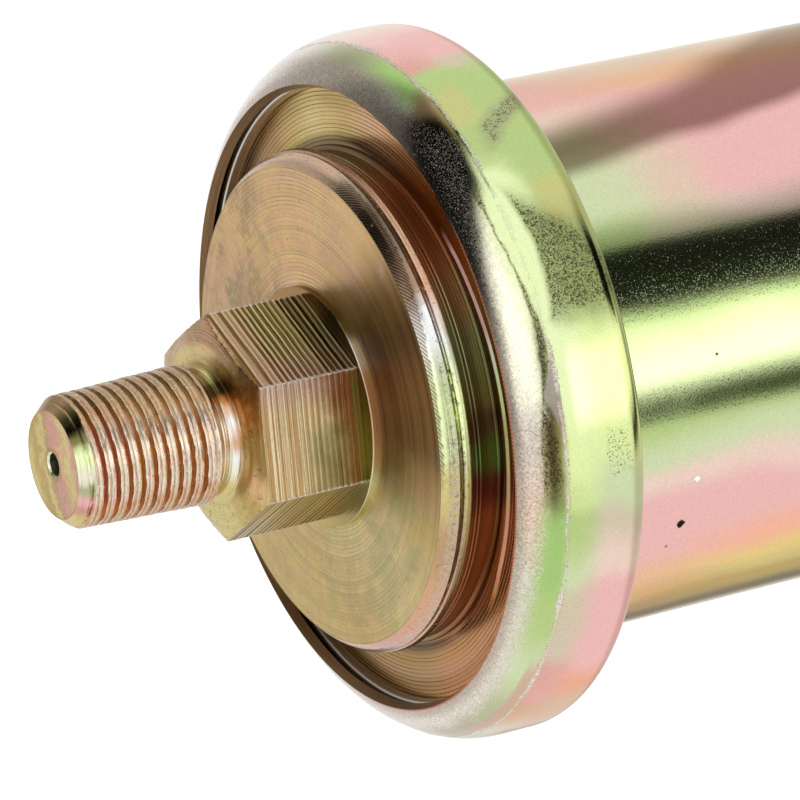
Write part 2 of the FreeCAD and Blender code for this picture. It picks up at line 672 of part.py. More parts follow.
def contact_strip():
    """Strip from the card's upper rivet, bent over to an eyelet under the terminal's head."""
    outer_bend = STRIP_BEND + STRIP_THICKNESS
    z = card_rivet_places()[1]
    start_x = card_x - STRIP_WIDTH / 2
    top = arm_far + STRIP_THICKNESS
    steps = [("run", insulator_front - outer_bend - start_x), ("bend", outer_bend, -90),
             ("run", top - outer_bend)]
    section = sheet_section((start_x, top), 0, steps, -STRIP_THICKNESS, along)
    strip = section.translated(ALONG_Z * (z - STRIP_WIDTH / 2)).extrude(ALONG_Z * STRIP_WIDTH)
    strip = strip.fuse(rod_x(eyelet_front, insulator_front, EYELET_RADIUS))
    link = Part.makeBox(STRIP_THICKNESS, STRIP_WIDTH, z, Vector(eyelet_front, 0, 0))
    strip = strip.fuse(link).cut(rod_x(eyelet_front, insulator_front, TERMINAL_RADIUS + FIT_GAP))
    strip = strip.cut(rod_y(arm_far, top, CARD_RIVET_RADIUS + FIT_GAP, card_x, z))
    save(strip.removeSplitter(), "contact_strip")


def terminal():
    """Central terminal: a screw through two insulators, a washer, a thin nut, a lock washer and a nut."""
    screw = Outline(head_front, 0).to(head_front, TERMINAL_HEAD_RADIUS)
    screw.to(eyelet_front, TERMINAL_HEAD_RADIUS).to(eyelet_front, TERMINAL_RADIUS)
    screw.to(terminal_end - TERMINAL_CHAMFER, TERMINAL_RADIUS)
    screw.to(terminal_end, TERMINAL_RADIUS - TERMINAL_CHAMFER).to(terminal_end, 0)
    save(screw.turned(), "terminal_screw")
    bore = TERMINAL_RADIUS + RUNNING_GAP
    inner = ring(insulator_front, wall_face, bore, INSULATOR_RADIUS)
    spigot = ring(wall_face, can_end, bore, TERMINAL_HOLE_RADIUS - SEAT_GAP)
    save(inner.fuse(spigot).removeSplitter(), "inner_insulator")
    save(ring(can_end, insulator_back, bore, INSULATOR_RADIUS), "outer_insulator")
    save(ring(insulator_back, washer_back, bore, WASHER_RADIUS), "flat_washer")
    save(nut(washer_back, thin_nut_back, NUT_FLATS, TERMINAL_RADIUS + FIT_GAP), "thin_nut")
    washer = ring(thin_nut_back, lock_washer_back, bore, LOCK_WASHER_RADIUS)
    slit = Part.makeBox(LOCK_WASHER_THICKNESS, LOCK_WASHER_SLIT, LOCK_WASHER_RADIUS,
                        Vector(thin_nut_back, -LOCK_WASHER_SLIT / 2, 0))
    save(washer.cut(slit), "lock_washer")
    save(nut(lock_washer_back, nut_back, NUT_FLATS, TERMINAL_RADIUS + FIT_GAP), "terminal_nut")


base_fitting()
housing_can()
clamped_stack()
diaphragm()
mechanism_plate()
mechanism_bracket()
bracket_rivets()
pivot_frame()
guide_bush()
pusher()
adjusting_screw()
return_spring()
lever()
wiper()
pivot_pin()
resistor_card()
resistor_bracket()
resistor_rivets()
contact_strip()
terminal()
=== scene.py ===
"""Oil pressure sender, yellow zinc plated: finishes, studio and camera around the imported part.

The frame is the part's own: X runs along the axis from the stud's tip to the terminal, and Z is up.
Sizes here are in millimetres and are turned to metres when a mesh is made. Angles round the axis are
in degrees, from the top (+Z) towards +Y, so the side that faces the camera is at negative angles.
"""
import json
import math

import bpy
import numpy as np
from mathutils import Matrix, Vector


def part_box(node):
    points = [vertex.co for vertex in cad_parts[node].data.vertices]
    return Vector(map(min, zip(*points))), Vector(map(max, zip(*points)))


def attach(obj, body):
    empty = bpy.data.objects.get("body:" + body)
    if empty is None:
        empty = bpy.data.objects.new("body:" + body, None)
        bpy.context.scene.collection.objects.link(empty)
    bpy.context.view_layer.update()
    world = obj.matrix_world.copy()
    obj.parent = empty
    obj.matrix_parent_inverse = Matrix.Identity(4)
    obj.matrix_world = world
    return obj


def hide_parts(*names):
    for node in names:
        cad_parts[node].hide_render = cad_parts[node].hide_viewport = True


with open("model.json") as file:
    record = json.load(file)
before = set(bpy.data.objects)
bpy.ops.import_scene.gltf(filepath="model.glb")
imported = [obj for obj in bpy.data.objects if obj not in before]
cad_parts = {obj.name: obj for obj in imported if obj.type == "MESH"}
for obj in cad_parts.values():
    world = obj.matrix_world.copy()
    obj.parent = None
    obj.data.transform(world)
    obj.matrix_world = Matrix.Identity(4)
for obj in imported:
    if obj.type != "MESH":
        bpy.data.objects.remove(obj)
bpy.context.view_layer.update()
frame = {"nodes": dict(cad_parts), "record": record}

MM = 0.001


def box_mm(node):
    """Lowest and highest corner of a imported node, in millimetres."""
    low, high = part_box(node)
    return low / MM, high / MM


fitting_low, fitting_high = box_mm("base_fitting")
_, can_high = box_mm("housing_can")
ring_low, ring_high = box_mm("backing_ring")
_, plate_high = box_mm("mechanism_plate")
screw_low, screw_high = box_mm("terminal_screw")

# Stud with its taper thread
TIP_FLAT = 4.04
TIP_CHAMFER = 1.0
PORT_RADIUS = 0.85
PORT_MOUTH = 0.14
PORT_LENGTH = 4.0
BORE_RADIUS = 1.6
THREAD_LENGTH = 11.5
THREAD_PITCH = 1.0
THREAD_DEPTH = 0.42
THREAD_TIP_RADIUS = 4.9
THREAD_TAPER = 1 / 32
CREST_SHARE = 0.62
ROOT_SHARE = 0.2
THREAD_TEAR = 0.02
RUN_OUT = 1.6
RUN_OUT_END = 0.3
NECK_BLEND = 0.5
NECK_RADIUS = 4.65
NECK_LENGTH = 1.2
NECK_FILLET = 0.7

# Hexagon, milled across its flats, and the collar behind it
HEX_FLATS = 15.0
HEX_LENGTH = 8.7
HEX_FACE_RADIUS = 6.6
HEX_CHAMFER = 0.67
HEX_TURN = 9.9
MILL_PITCH = 0.47
COLLAR_RADIUS = 9.1
COLLAR_LENGTH = 0.4
COLLAR_CHAMFER = 0.05

# Disc, waist and flange. Their steps are (along, outward, rows) from the disc's face and edge, from
# each ridge and from the flange's face
DISC_THICKNESS = 2.2
DISC_INSET = 2.05
DISC_FACE_INSET = 1.02
DISC_EDGE = ((0.45, -0.57, 3), (1.1, -0.2, 4), (1.26, -0.2, 1), (1.36, -0.36, 1), (1.48, -0.1, 1))
DISC_BEAD = 0.4
WAIST_STEP = 0.5
WAIST_RIDGES = (0.12, 0.42, 0.72)
WAIST_RIDGE = ((0, 0, 1), (0.07, -0.06, 1), (0.14, 0, 1))
WAIST_FOOT = ((-0.46, 0, 4), (-0.34, 0.26, 2), (-0.16, 0.34, 1), (-0.08, 0.2, 1), (0, 0.42, 1))
FLANGE_GROOVE = 0.31
CHAMBER_RADIUS = 14.9
CHAMBER_DEPTH = 1.6

# Rolled can
SHEET = 0.8
RIM_CURL = 5.8
RIM_CORNER = 1.6
CAN_SHOULDER = 5.8
CAN_FILLET = 1.0
CAN_CORNER = 3.0
LIP_ANGLE = 64.0
SEAT_GAP = 0.05
TERMINAL_HOLE_RADIUS = 4.0
CAN_WAVER = 0.02
CAN_RIPPLE = 0.006
WAVER_START = 5.0
WAVER_FULL = 3.0
DIE_LINE = 22.1
DIE_LINE_HEIGHT = 0.035
DIE_LINE_WIDTH = 0.12
DIE_LINE_WANDER = 0.1
BEND_START = 23.44
FLAT_LEAN = 0.2

# Bright ring and terminal screw
RING_WIDTH = 0.78
RING_ROUNDING = 0.27
TERMINAL_RADIUS = 2.5
TERMINAL_PITCH = 0.8
TERMINAL_DEPTH = 0.44
TERMINAL_THREADED = 12.4
TERMINAL_CHAMFER = 0.4
TERMINAL_HEAD = 1.5

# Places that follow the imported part
tip = fitting_low.x
thread_end = tip + THREAD_LENGTH
hex_face = thread_end + NECK_LENGTH
hex_corner = HEX_FLATS / math.sqrt(3)
collar_face = hex_face + HEX_LENGTH
disc_face = collar_face + COLLAR_LENGTH
disc_back = disc_face + DISC_THICKNESS
flange_face = ring_high.x
flange_back = fitting_high.x
rim_radius = can_high.z
can_radius = rim_radius - CAN_SHOULDER
curl_radius = rim_radius - RIM_CURL
disc_radius = curl_radius - DISC_INSET
waist_radius = disc_radius - WAIST_STEP
rim_back = plate_high.x + SEAT_GAP + SHEET
lip_radius = curl_radius + RIM_CURL * math.cos(math.radians(LIP_ANGLE))
can_end = can_high.x

# Studio and camera. Places are in metres, the lens and its sensor in millimetres
CAMERA_PLACE = (-0.15019, -0.29863, 0.14342)
CAMERA_FORWARD = (0.4644, 0.7973, -0.3856)
CAMERA_UP = (0.1941, 0.3332, 0.9227)
CAMERA_LENS = 225
CAMERA_SENSOR = 36
FLOOR_DROP = 0.06
FLOOR_SIZE = 6.0
FLOOR_GLOW = 0.35


def srgb(red, green, blue):
    """A colour from its 0 to 255 values, as the linear light that a shader takes."""
    def linear(value):
        value /= 255
        return value / 12.92 if value <= 0.04045 else ((value + 0.055) / 1.055) ** 2.4
    return (linear(red), linear(green), linear(blue), 1.0)


# Tints of the yellow zinc film and of the other finishes
PINK = srgb(238, 186, 182)
BLUSH = srgb(238, 210, 194)
ROSE = srgb(208, 158, 144)
PEACH = srgb(238, 190, 156)
AMBER = srgb(220, 178, 126)
STRAW = srgb(214, 198, 132)
GOLD = srgb(190, 162, 92)
SAND = srgb(192, 158, 118)
OCHRE = srgb(150, 112, 62)
OLIVE = srgb(136, 126, 76)
KHAKI = srgb(160, 138, 100)
TAUPE = srgb(178, 164, 140)
SAGE = srgb(182, 184, 144)
LEAF = srgb(184, 206, 134)
LIME = srgb(236, 250, 190)
MINT = srgb(208, 220, 174)
CREAM = srgb(250, 246, 222)
HONEY = srgb(196, 128, 56)
COPPER = srgb(188, 104, 62)
OCHRE_PALE = srgb(170, 138, 92)
LEMON = srgb(228, 242, 168)
MOSS = srgb(146, 150, 98)
SAGE_DARK = srgb(166, 164, 128)
PEACH_DEEP = srgb(214, 168, 132)
PEWTER = srgb(194, 179, 165)
PUTTY = srgb(128, 114, 90)
TAN = srgb(214, 178, 150)
UMBER = srgb(74, 56, 34)
RUST = srgb(150, 88, 44)
MAROON = srgb(104, 46, 30)
BROWN = srgb(104, 76, 50)
SILVER = srgb(224, 215, 204)
# Mauve grey for the scar on the rim, and for the painted dark reflection band on the can
STAIN_AND_SHADE = srgb(160, 144, 139)
# Light grey for the painted glint specks on the can and the rim
GLINT_GREY = srgb(178, 174, 160)
PINE = srgb(50, 60, 36)
FERN_DARK = srgb(104, 126, 56)
SALMON = srgb(236, 168, 138)
TAN_PALE = srgb(212, 198, 172)
ROSE_RUST = srgb(196, 108, 84)
BLOOM = srgb(224, 168, 158)
FERN_PALE = srgb(166, 202, 120)
BRASS = srgb(192, 174, 102)
REED = srgb(202, 192, 134)
WHEAT = srgb(222, 182, 126)
TOFFEE = srgb(184, 112, 66)
MELON = srgb(248, 184, 158)
CORN = srgb(236, 206, 136)
SHELL = srgb(236, 228, 212)
IVORY = srgb(255, 236, 196)
ORANGE = srgb(226, 150, 78)
SMOKE = srgb(120, 114, 110)
SOOT = srgb(26, 24, 20)
STEEL = srgb(186, 186, 182)
WHITE = srgb(255, 255, 255)


class Profile:
    """The rows of a turned mesh: the place along the axis, the radius and the surface's name."""

    def __init__(self, x, r):
        self.rows = [(x, r, "")]

    def line(self, zone, x, r, count=1):
        """A straight run of that many rows to the point (x, r)."""
        x0, r0, _ = self.rows[-1]
        for i in range(1, count + 1):
            share = i / count
            self.rows.append((x0 + (x - x0) * share, r0 + (r - r0) * share, zone))
        return self

    def steps(self, zone, x, r, steps):
        """Straight runs to places that are given from the point (x, r)."""
        for along, outward, count in steps:
            self.line(zone, x + along, r + outward, count)

    def arc(self, zone, x, r, radius, start, end, count):
        """Round the point (x, r). An angle of 0 points away from the axis and 90 along +X."""
        for i in range(1, count + 1):
            angle = math.radians(start + (end - start) * i / count)
            self.rows.append((x + radius * math.sin(angle), r + radius * math.cos(angle), zone))

    def grid(self, columns, turn=0.0):
        """Arrays of places, radii and angles for every row and column, and the rows' names."""
        rows = self.rows[1:]
        angles = np.radians(turn + 360 * np.arange(columns) / columns)
        x = np.array([row[0] for row in rows])[:, None] + np.zeros(columns)
        r = np.array([row[1] for row in rows])[:, None] + np.zeros(columns)
        return x, r, angles + np.zeros(x.shape), [row[2] for row in rows]


def smoothstep(low, high, value):
    """0 below low, 1 above high and smooth between."""
    share = np.clip((value - low) / (high - low), 0, 1)
    return share * share * (3 - 2 * share)


def streaks(x, angle, cell, arc, seed):
    """Smooth noise from -1 to 1, in cells of that length along the axis and that arc, in radians."""
    along, around = 512, max(3, int(round(2 * math.pi / arc)))
    lattice = np.random.RandomState(seed).uniform(-1, 1, (along, around))
    u = (x + 100) / cell
    v = (angle % (2 * math.pi)) / (2 * math.pi) * around
    i, j = np.floor(u).astype(int), np.floor(v).astype(int)
    a, b = u - i, v - j
    a, b = a * a * (3 - 2 * a), b * b * (3 - 2 * b)
    i0, i1, j0, j1 = i % along, (i + 1) % along, j % around, (j + 1) % around
    low = lattice[i0, j0] * (1 - b) + lattice[i0, j1] * b
    high = lattice[i1, j0] * (1 - b) + lattice[i1, j1] * b
    return low * (1 - a) + high * a


def turned_mesh(name, x, r, angle, zones, materials, body, replaces, depth=None, crease=32,
                capped=False):
    """A closed piece turned round the axis. Its last row runs on to its first, or flat caps close it."""
    count, columns = x.shape
    points = np.stack([x, r * np.sin(angle), r * np.cos(angle)], axis=-1).reshape(-1, 3) * MM
    strips = count - 1 if capped else count
    row = np.arange(strips)[:, None]
    column = np.arange(columns)[None, :]
    after, beside = (row + 1) % count, (column + 1) % columns
    quads = np.stack([row * columns + column, after * columns + column,
                      after * columns + beside, row * columns + beside], axis=-1).reshape(-1, 4)
    ring = list(range(columns))
    caps = [ring, [(count - 1) * columns + place for place in reversed(ring)]] if capped else []
    mesh = bpy.data.meshes.new(name)
    mesh.from_pydata(points.tolist(), [], quads.tolist() + caps)
    names = list(dict.fromkeys(zones))
    for zone in names:
        mesh.materials.append(materials[zone])
    index = np.repeat([names.index(zones[(i + 1) % count]) for i in range(strips)], columns)
    index = np.append(index, [names.index(zones[end]) for end in (0, -1)[:len(caps)]])
    mesh.polygons.foreach_set("material_index", index.astype(np.int32))
    if depth is not None:
        layer = mesh.attributes.new("depth", "FLOAT", "POINT")
        layer.data.foreach_set("value", depth.reshape(-1).astype(np.float32))
    mesh.shade_smooth()
    mesh.set_sharp_from_angle(angle=math.radians(crease))
    mesh.update()
    piece = bpy.data.objects.new(name, mesh)
    bpy.context.scene.collection.objects.link(piece)
    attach(piece, body)
    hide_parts(*replaces)
    return piece


class Value:
    """A number or colour on its way through a tree of nodes, so that sums are written as sums."""

    def __init__(self, nodes, socket):
        self.nodes = nodes
        self.socket = socket

    def __add__(self, other):
        return self.nodes.math("ADD", self, other)

    def __sub__(self, other):
        return self.nodes.math("SUBTRACT", self, other)

    def __rsub__(self, other):
        return self.nodes.math("SUBTRACT", other, self)

    def __mul__(self, other):
        return self.nodes.math("MULTIPLY", self, other)

    def __abs__(self):
        return self.nodes.math("ABSOLUTE", self)

    __radd__ = __add__
    __rmul__ = __mul__

    def step(self, low, high):
        """0 below low, 1 above high and smooth between. With low above high it falls."""
        ends = (low, high, 0, 1) if low < high else (high, low, 1, 0)
        inputs = dict(zip(("From Min", "From Max", "To Min", "To Max"), ends), Value=self)
        return self.nodes.node("ShaderNodeMapRange", inputs, interpolation_type="SMOOTHSTEP")

    def hump(self, low, high, soft):
        """1 from low to high, falling to 0 over the soft width outside."""
        return self.step(low - soft, low) * self.step(high + soft, high)

    def waver(self, amount, noise):
        """The value moved by the noise, up to half the amount each way."""
        return self + (noise - 0.5) * amount

    def wander(self, amount, *noise, seed):
        """The value moved by a noise of its own."""
        return self.waver(amount, self.nodes.noise(*noise, seed=seed))

    def bands(self, stops, ease="EASE"):
        """A colour for each value. The stops are in rising order."""
        low, *_, high = stops
        ranged = self.nodes.node("ShaderNodeMapRange", {"Value": self, "From Min": low, "From Max": high})
        made = self.nodes.node("ShaderNodeValToRGB", {"Fac": ranged})
        ramp = made.socket.node.color_ramp
        ramp.interpolation = ease
        ramp.elements[1].position = 1
        ramp.elements[0].color, ramp.elements[1].color = stops[low], stops[high]
        for place in list(stops)[1:-1]:
            ramp.elements.new((place - low) / (high - low)).color = stops[place]
        return made

    def level(self, stops):
        """A number for each value. The stops are in rising order of value."""
        low, high = min(stops.values()), max(stops.values())
        greys = {place: ((number - low) / (high - low),) * 3 + (1,) for place, number in stops.items()}
        return self.bands(greys, ease="LINEAR") * (high - low) + low

    def clamp(self, low, high):
        """The value kept between low and high."""
        return self.nodes.node("ShaderNodeClamp", {"Value": self, "Min": low, "Max": high})

    def scallops(self, pitch, start=0):
        """Cutter paths side by side: 0 on the ridges and 1 in the hollows, and each path's own number."""
        place = self * (1 / pitch) + start
        across = self.nodes.math("FRACT", place) * 2 - 1
        path = {"W": self.nodes.math("FLOOR", place)}
        return 1 - across * across, self.nodes.node("ShaderNodeTexWhiteNoise", path, noise_dimensions="1D")


class Nodes:
    """A tree of nodes, for a material or for the world."""

    def __init__(self, tree):
        self.tree = tree

    def node(self, kind, inputs=(), output=0, **settings):
        """A new node with these settings and inputs. Gives the value of one of its outputs."""
        made = self.tree.nodes.new(kind)
        for key, value in settings.items():
            setattr(made, key, value)
        for key, value in dict(inputs).items():
            self.put(made.inputs[key], value)
        return Value(self, made.outputs[output])

    def put(self, socket, value):
        """Sets a socket to a number or colour, or links a value to it."""
        if isinstance(value, Value):
            self.tree.links.new(value.socket, socket)
        else:
            socket.default_value = value

    def math(self, operation, *values):
        return self.node("ShaderNodeMath", enumerate(values), operation=operation)


class Shader(Nodes):
    """One material, with its place in millimetres and the colour that is painted layer by layer."""

    def __init__(self, name):
        self.material = bpy.data.materials.new(name)
        self.material.use_nodes = True
        super().__init__(self.material.node_tree)
        self.surface = self.tree.nodes["Principled BSDF"]
        here = self.node("ShaderNodeTexCoord", output="Object")
        self.place = self.node("ShaderNodeVectorMath", {0: here, "Scale": 1 / MM}, operation="SCALE")
        parts = self.node("ShaderNodeSeparateXYZ", {0: self.place}).socket.node.outputs
        self.x, self.y, self.z = (Value(self, socket) for socket in parts)
        self.angle = self.math("ARCTAN2", self.y, self.z) * math.degrees(1)
        self.radius = self.math("SQRT", self.y * self.y + self.z * self.z)
        self.colour = None

    def noise(self, scale, detail=2, rough=0.5, seed=0, place=None):
        """Noise from 0 to 1, in millimetres unless another place is given."""
        inputs = {"Vector": place or self.place, "W": seed, "Scale": scale, "Detail": detail,
                  "Roughness": rough}
        return self.node("ShaderNodeTexNoise", inputs, noise_dimensions="4D")

    def around(self, along, radial, per_degree, detail=2, seed=0):
        """Noise on the turned surface's own coordinates: along X, along the radius and round."""
        parts = (self.x * along, self.radius * radial, self.angle * per_degree)
        return self.noise(1, detail, seed=seed, place=self.node("ShaderNodeCombineXYZ", enumerate(parts)))

    def mix(self, factor, a, b, blend="MIX"):
        return self.node("ShaderNodeMix", {0: factor, 6: a, 7: b}, 2, data_type="RGBA", blend_type=blend)

    def paint(self, tint, share, blend="MIX"):
        """Lays a tint over the colour so far, as far as the share says."""
        self.colour = self.mix(share, self.colour, tint, blend)

    def bump(self, height, distance, under=None):
        """Surface relief: the height, 0 to 1, times the distance in millimetres."""
        inputs = {"Height": height, "Distance": distance * MM}
        if under is not None:
            inputs["Normal"] = under
        return self.node("ShaderNodeBump", inputs)

    def grain(self, scale, amount, share=1, seed=0):
        """Makes the colour lighter and darker in fine specks, by up to half the amount each way."""
        self.paint(self.noise(scale, 2, 0.6, seed=seed) * amount + (1 - amount / 2), share, "MULTIPLY")

    def specks(self, share, scale, seed=0):
        """1 in fine sharp specks and 0 between. A share of 0 gives almost none and 1 gives half."""
        return (self.noise(scale, 3, 0.7, seed=seed) + share * 0.26).step(0.73, 0.81)

    def spot(self, place, angle, radius, size):
        """1 in a ragged spot round that place and angle on a surface of that radius, 0 outside."""
        along = self.x - place
        round_it = (self.angle - angle) * math.radians(radius)
        away = self.math("SQRT", along * along + round_it * round_it)
        return away.wander(size * 1.6, 1.2 / size, seed=angle).step(size, size * 0.7)

    def finish(self, roughness, metallic=1, normal=None, turned=0, edge=None):
        """Sets the surface. Turned spreads its gloss across marks round the axis, edge tints its rims."""
        inputs = {"Base Color": self.colour, "Roughness": roughness, "Metallic": metallic}
        if edge is not None:
            inputs["Specular Tint"] = edge
        if turned:
            inputs["Anisotropic"] = turned
            inputs["Tangent"] = self.node("ShaderNodeTangent", direction_type="RADIAL", axis="X")
        if normal is not None:
            inputs["Normal"] = normal
        for name, value in inputs.items():
            self.put(self.surface.inputs[name], value)
        return self.material


def banded(name, stops, *noise, seed):
    """A new finish that starts with tints in wavering bands round the axis, and the angle they follow."""
    s = Shader(name)
    turn = s.angle.wander(*noise, seed=seed)
    s.colour = turn.bands(stops)
    return s, turn


def orange_peel(shader, depth=0.003):
    """The plated sheet's fine grain, which breaks reflections up into specks."""
    return shader.bump(shader.noise(6, 1, seed=3), depth)


# Marks on the can. The pits have a place along the axis, an angle, a radius and a tint
# Where the painted dark reflection band on the can starts along the axis
SHADE_BAND_START = 35.0
SCAR_PLACE = 21.2
SCAR_ANGLE = -70.5
CAN_PITS = (
    (35.7, -106.6, 0.38, SOOT),
    (36.57, -96.2, 0.3, WHITE),
    (38.67, -71.5, 0.13, BROWN),
    (34.9, -112, 0.14, KHAKI),
)


def wall_tints(s, turn):
    """The side wall's pale tints in bands round the can, near the rim and further along."""
    # The darker olive and ochre bands low on the can, near -140, are painted dark reflection
    near_rim = turn.bands({
        -180: TAUPE, -150: KHAKI, -142: OCHRE, -134: OCHRE_PALE, -127: AMBER, -120: PEACH, -113: PINK,
        -101: PINK, -95: BLUSH, -90: MINT, -82: LEAF, -72: LIME, -60: LEAF, -46: LEAF, -38: MINT, -28: MINT,
        -20: SAGE, -12: BLUSH, -6: PINK, 4: PINK, 14: BLUSH, 26: CREAM, 90: BLUSH, 130: MINT, 180: TAUPE})
    further = turn.bands({
        -180: TAUPE, -150: KHAKI, -140: OLIVE, -130: GOLD, -125: STRAW, -121: CORN, -114: MELON, -106: PINK,
        -101: PINK, -94: BLUSH, -88: MINT, -80: LEAF, -72: LIME, -58: LEAF, -50: SAGE, -44: BLUSH, -38: PINK,
        -10: PINK, -2: PEACH, 8: BLUSH, 26: CREAM, 90: MINT, 130: PINK, 180: TAUPE})
    s.colour = s.mix(s.x.wander(8, 0.2, seed=2).step(33, 45), near_rim, further)


def can_plating():
    """Side wall and end: pale tints, a slanting band of painted dark reflection, painted glint specks in the
    dark band and a few pits.
    """
    s = Shader("can_plating")
    turn = s.angle.wander(9, 0.1, 1, seed=1)
    wall_tints(s, turn)
    # Painted dark reflection: a slanting mauve grey band that moves round the can along the axis
    beyond = s.x - SHADE_BAND_START
    low = (turn - beyond * 0.4).step(-30.5, -25)
    s.paint(STAIN_AND_SHADE, low * (turn - beyond * (beyond * 0.0425 + 0.3)).step(-9, -22) * 0.95, "MULTIPLY")
    s.grain(7.5, 0.4, seed=61)
    s.paint(BROWN, s.noise(2.6, 3, 0.6, seed=62).step(0.72, 0.76) * 0.6)
    # Painted dark reflection specks along the edges of the dark bands
    fringe = s.angle.hump(-61.5, -59.5, 2) + s.angle.hump(-82, -76.5, 2.5)
    s.paint(PINE, s.specks(fringe * 0.8, 7, seed=84) * 0.6)
    # Painted glints: light matt specks in the dark reflection band, denser towards one edge
    band = s.angle.hump(-59.5, -48, 2.5)
    near_edge = s.angle.step(-52, -58.5) * 0.3 + 0.5
    painted_glints = s.specks(band * near_edge, 7, seed=85) * band * 0.7
    s.paint(GLINT_GREY, painted_glints)
    rings = s.radius.wander(9, 0.22, 3, 0.6, seed=109)
    closed = rings.bands({0: STRAW, 4: BLUSH, 7: PINK, 10: MINT, 13: LEAF, 16: STRAW, 19: BLUSH, 22: PINK})
    s.paint(closed, s.x.step(can_end - 2.6, can_end - 0.6))
    normal = orange_peel(s)
    for place, angle, size, tint in CAN_PITS:
        pit = s.spot(place, angle, can_radius, size)
        s.paint(tint, pit)
        normal = s.bump(pit, -0.08, normal)
    return s.finish(0.12, metallic=1 - painted_glints, normal=normal, edge=SHELL)


def rim_tints(s, turn):
    """The rim's tints in three zones: the flat, the bend before it and the part towards the lip."""
    # The lemon and lime bands, between about -80 and -36, are painted highlight
    flat = turn.bands({
        -180: TAUPE, -158: TAUPE, -146: TAN_PALE, -139: PEACH_DEEP, -133: TAN, -127: SALMON, -119: PINK,
        -106: PINK, -100: BLUSH, -93: TAN_PALE, -86: MINT, -79: LEMON, -62: LEMON, -56: LEAF, -14: LEAF,
        -9: TAN_PALE, -5: PINK, 3: PINK, 11: BLUSH, 24: SILVER, 90: MINT, 150: PINK, 180: TAUPE})
    bend = turn.bands({
        -180: TAUPE, -156: KHAKI, -145: TAN_PALE, -134: PEACH_DEEP, -128: BLOOM, -122: BLOOM, -116: TAN_PALE,
        -108: TAN_PALE, -102: MINT, -92: LEAF, -85: LEMON, -74: LIME, -36: LIME, -31: LEAF, -13: LEAF,
        -8: BLOOM, 4: PINK, 12: BLUSH, 22: SILVER, 90: SILVER, 180: TAUPE})
    front = turn.bands({
        -180: TAUPE, -160: KHAKI, -148: TAUPE, -138: SAGE, -122: MINT, -110: LEAF, -101: FERN_PALE,
        -94: FERN_PALE, -87: MOSS, -80: OLIVE, -75: OLIVE, -71: LIME, -36: LIME, -24: OLIVE, -18: KHAKI,
        -12: FERN_PALE, -4: FERN_PALE, 8: SAGE, 22: SILVER, 90: SILVER, 180: TAUPE})
    x = s.x.wander(1.6, 0.35, 3, 0.6, seed=5)
    s.colour = s.mix(x.step(25.4, 22.8), flat, bend)
    blush = s.x.hump(21.5, 21.9, 0.25) * turn.hump(-146, -124, 6)
    front = s.mix(blush * 0.7, front, ROSE)
    s.paint(front, s.x.wander(0.5, 0.8, seed=102).step(22.4, 21.7))


def rim_shadows(s, turn):
    """Painted dark reflections on the rim, in speckled zones, and painted glint specks where it is darkest.
    Gives the glint specks.
    """
    soft = turn.wander(3, 0.8, 3, 0.6, seed=77)
    x = s.x.wander(0.5, 0.9, 3, 0.6, seed=86)
    # Painted dark reflection: an olive speckled zone, a slanting streak and a patch, with pine specks; the
    # lemon specks in the olive zone are painted glints
    below = soft.level({-66: 23.6, -59: 22.5, -54: 22.9, -48: 23.05, -41: 22.8, -34: 22.2})
    past = soft + 36 + (s.x - 22.6) * 2.3
    olive = soft.step(-62, -56) * past.step(2.5, -4) * (x - below).step(-0.15, 0.4)
    streak = (soft + 28.4 - (s.x - 22.8) * 1.5).hump(-0.8, 0.8, 2.6) * s.x.step(22.6, 24.2)
    patch = soft.hump(-84, -78, 3) * s.x.hump(25.4, 27, 0.8)
    dark = olive + streak * 0.85 + patch * 0.75
    warm = soft.hump(-22, -18, 4) * s.x.hump(22.4, 23.6, 1)
    warm += soft.hump(-44, -39, 4) * s.x.hump(25.6, 27.2, 1.6)
    s.paint(STRAW, warm * 0.6)
    s.paint(MOSS, olive * 0.8)
    s.paint(SAGE_DARK, streak * 0.7)
    s.paint(PINE, s.specks(dark, 8.5, seed=87) * 0.9)
    s.paint(LEMON, s.specks(0.6, 9, seed=103) * olive * 0.7)

    # Painted shade: a dark speckled line along the edge of the lime highlight
    edge = soft.level({-80: 20.7, -74: 20.9, -68: 21.3, -60: 21.55, -52: 21.4, -45: 21.15, -36: 20.9})
    width = soft.level({
        -86: 1.2, -78: 1, -73: 0.02, -70: 0.2, -66: 0.5, -58: 0.42, -51: 0.12, -40: 0.14, -34: 0.6})
    across = x - edge
    line = across.step(-0.1, 0.06) * (across - width).step(0.12, -0.1)
    line *= soft.step(-92, -84) * soft.step(-32, -38)
    s.paint(OLIVE, line * 0.6)
    s.paint(UMBER, s.specks(line, 6, seed=88) * 0.8)

    # Painted black reflection towards the lip, brown specks where it turns grey, and light matt specks in it
    # that are painted glints
    reach = soft.level({
        -66: 19.3, -60: 19.75, -50: 20.05, -42: 20.5, -36: 20.95, -31: 21.6, -27: 21.95, -23: 21.6,
        -18: 20.8, -13: 20.3, -6: 20.2, 4: 20})
    black = (x - reach).step(0.45, -0.5) * soft.step(-2, -26) * (1 - x.step(20.2, 19.2) * 0.4)
    s.paint(SOOT, s.specks(black, 8.5, seed=89) * 0.95)
    s.paint(SOOT, black * 0.8)
    grey = x.step(20.9, 20.4) * soft.hump(-20, 20, 12)
    s.paint(BROWN, s.specks(grey * 0.75, 7.5, seed=104) * 0.45)
    light = s.specks(black * 0.85, 9, seed=90) * (x - reach).step(0.2, -0.1) * soft.step(-8, -16) * 0.65
    s.paint(GLINT_GREY, light)
    return light


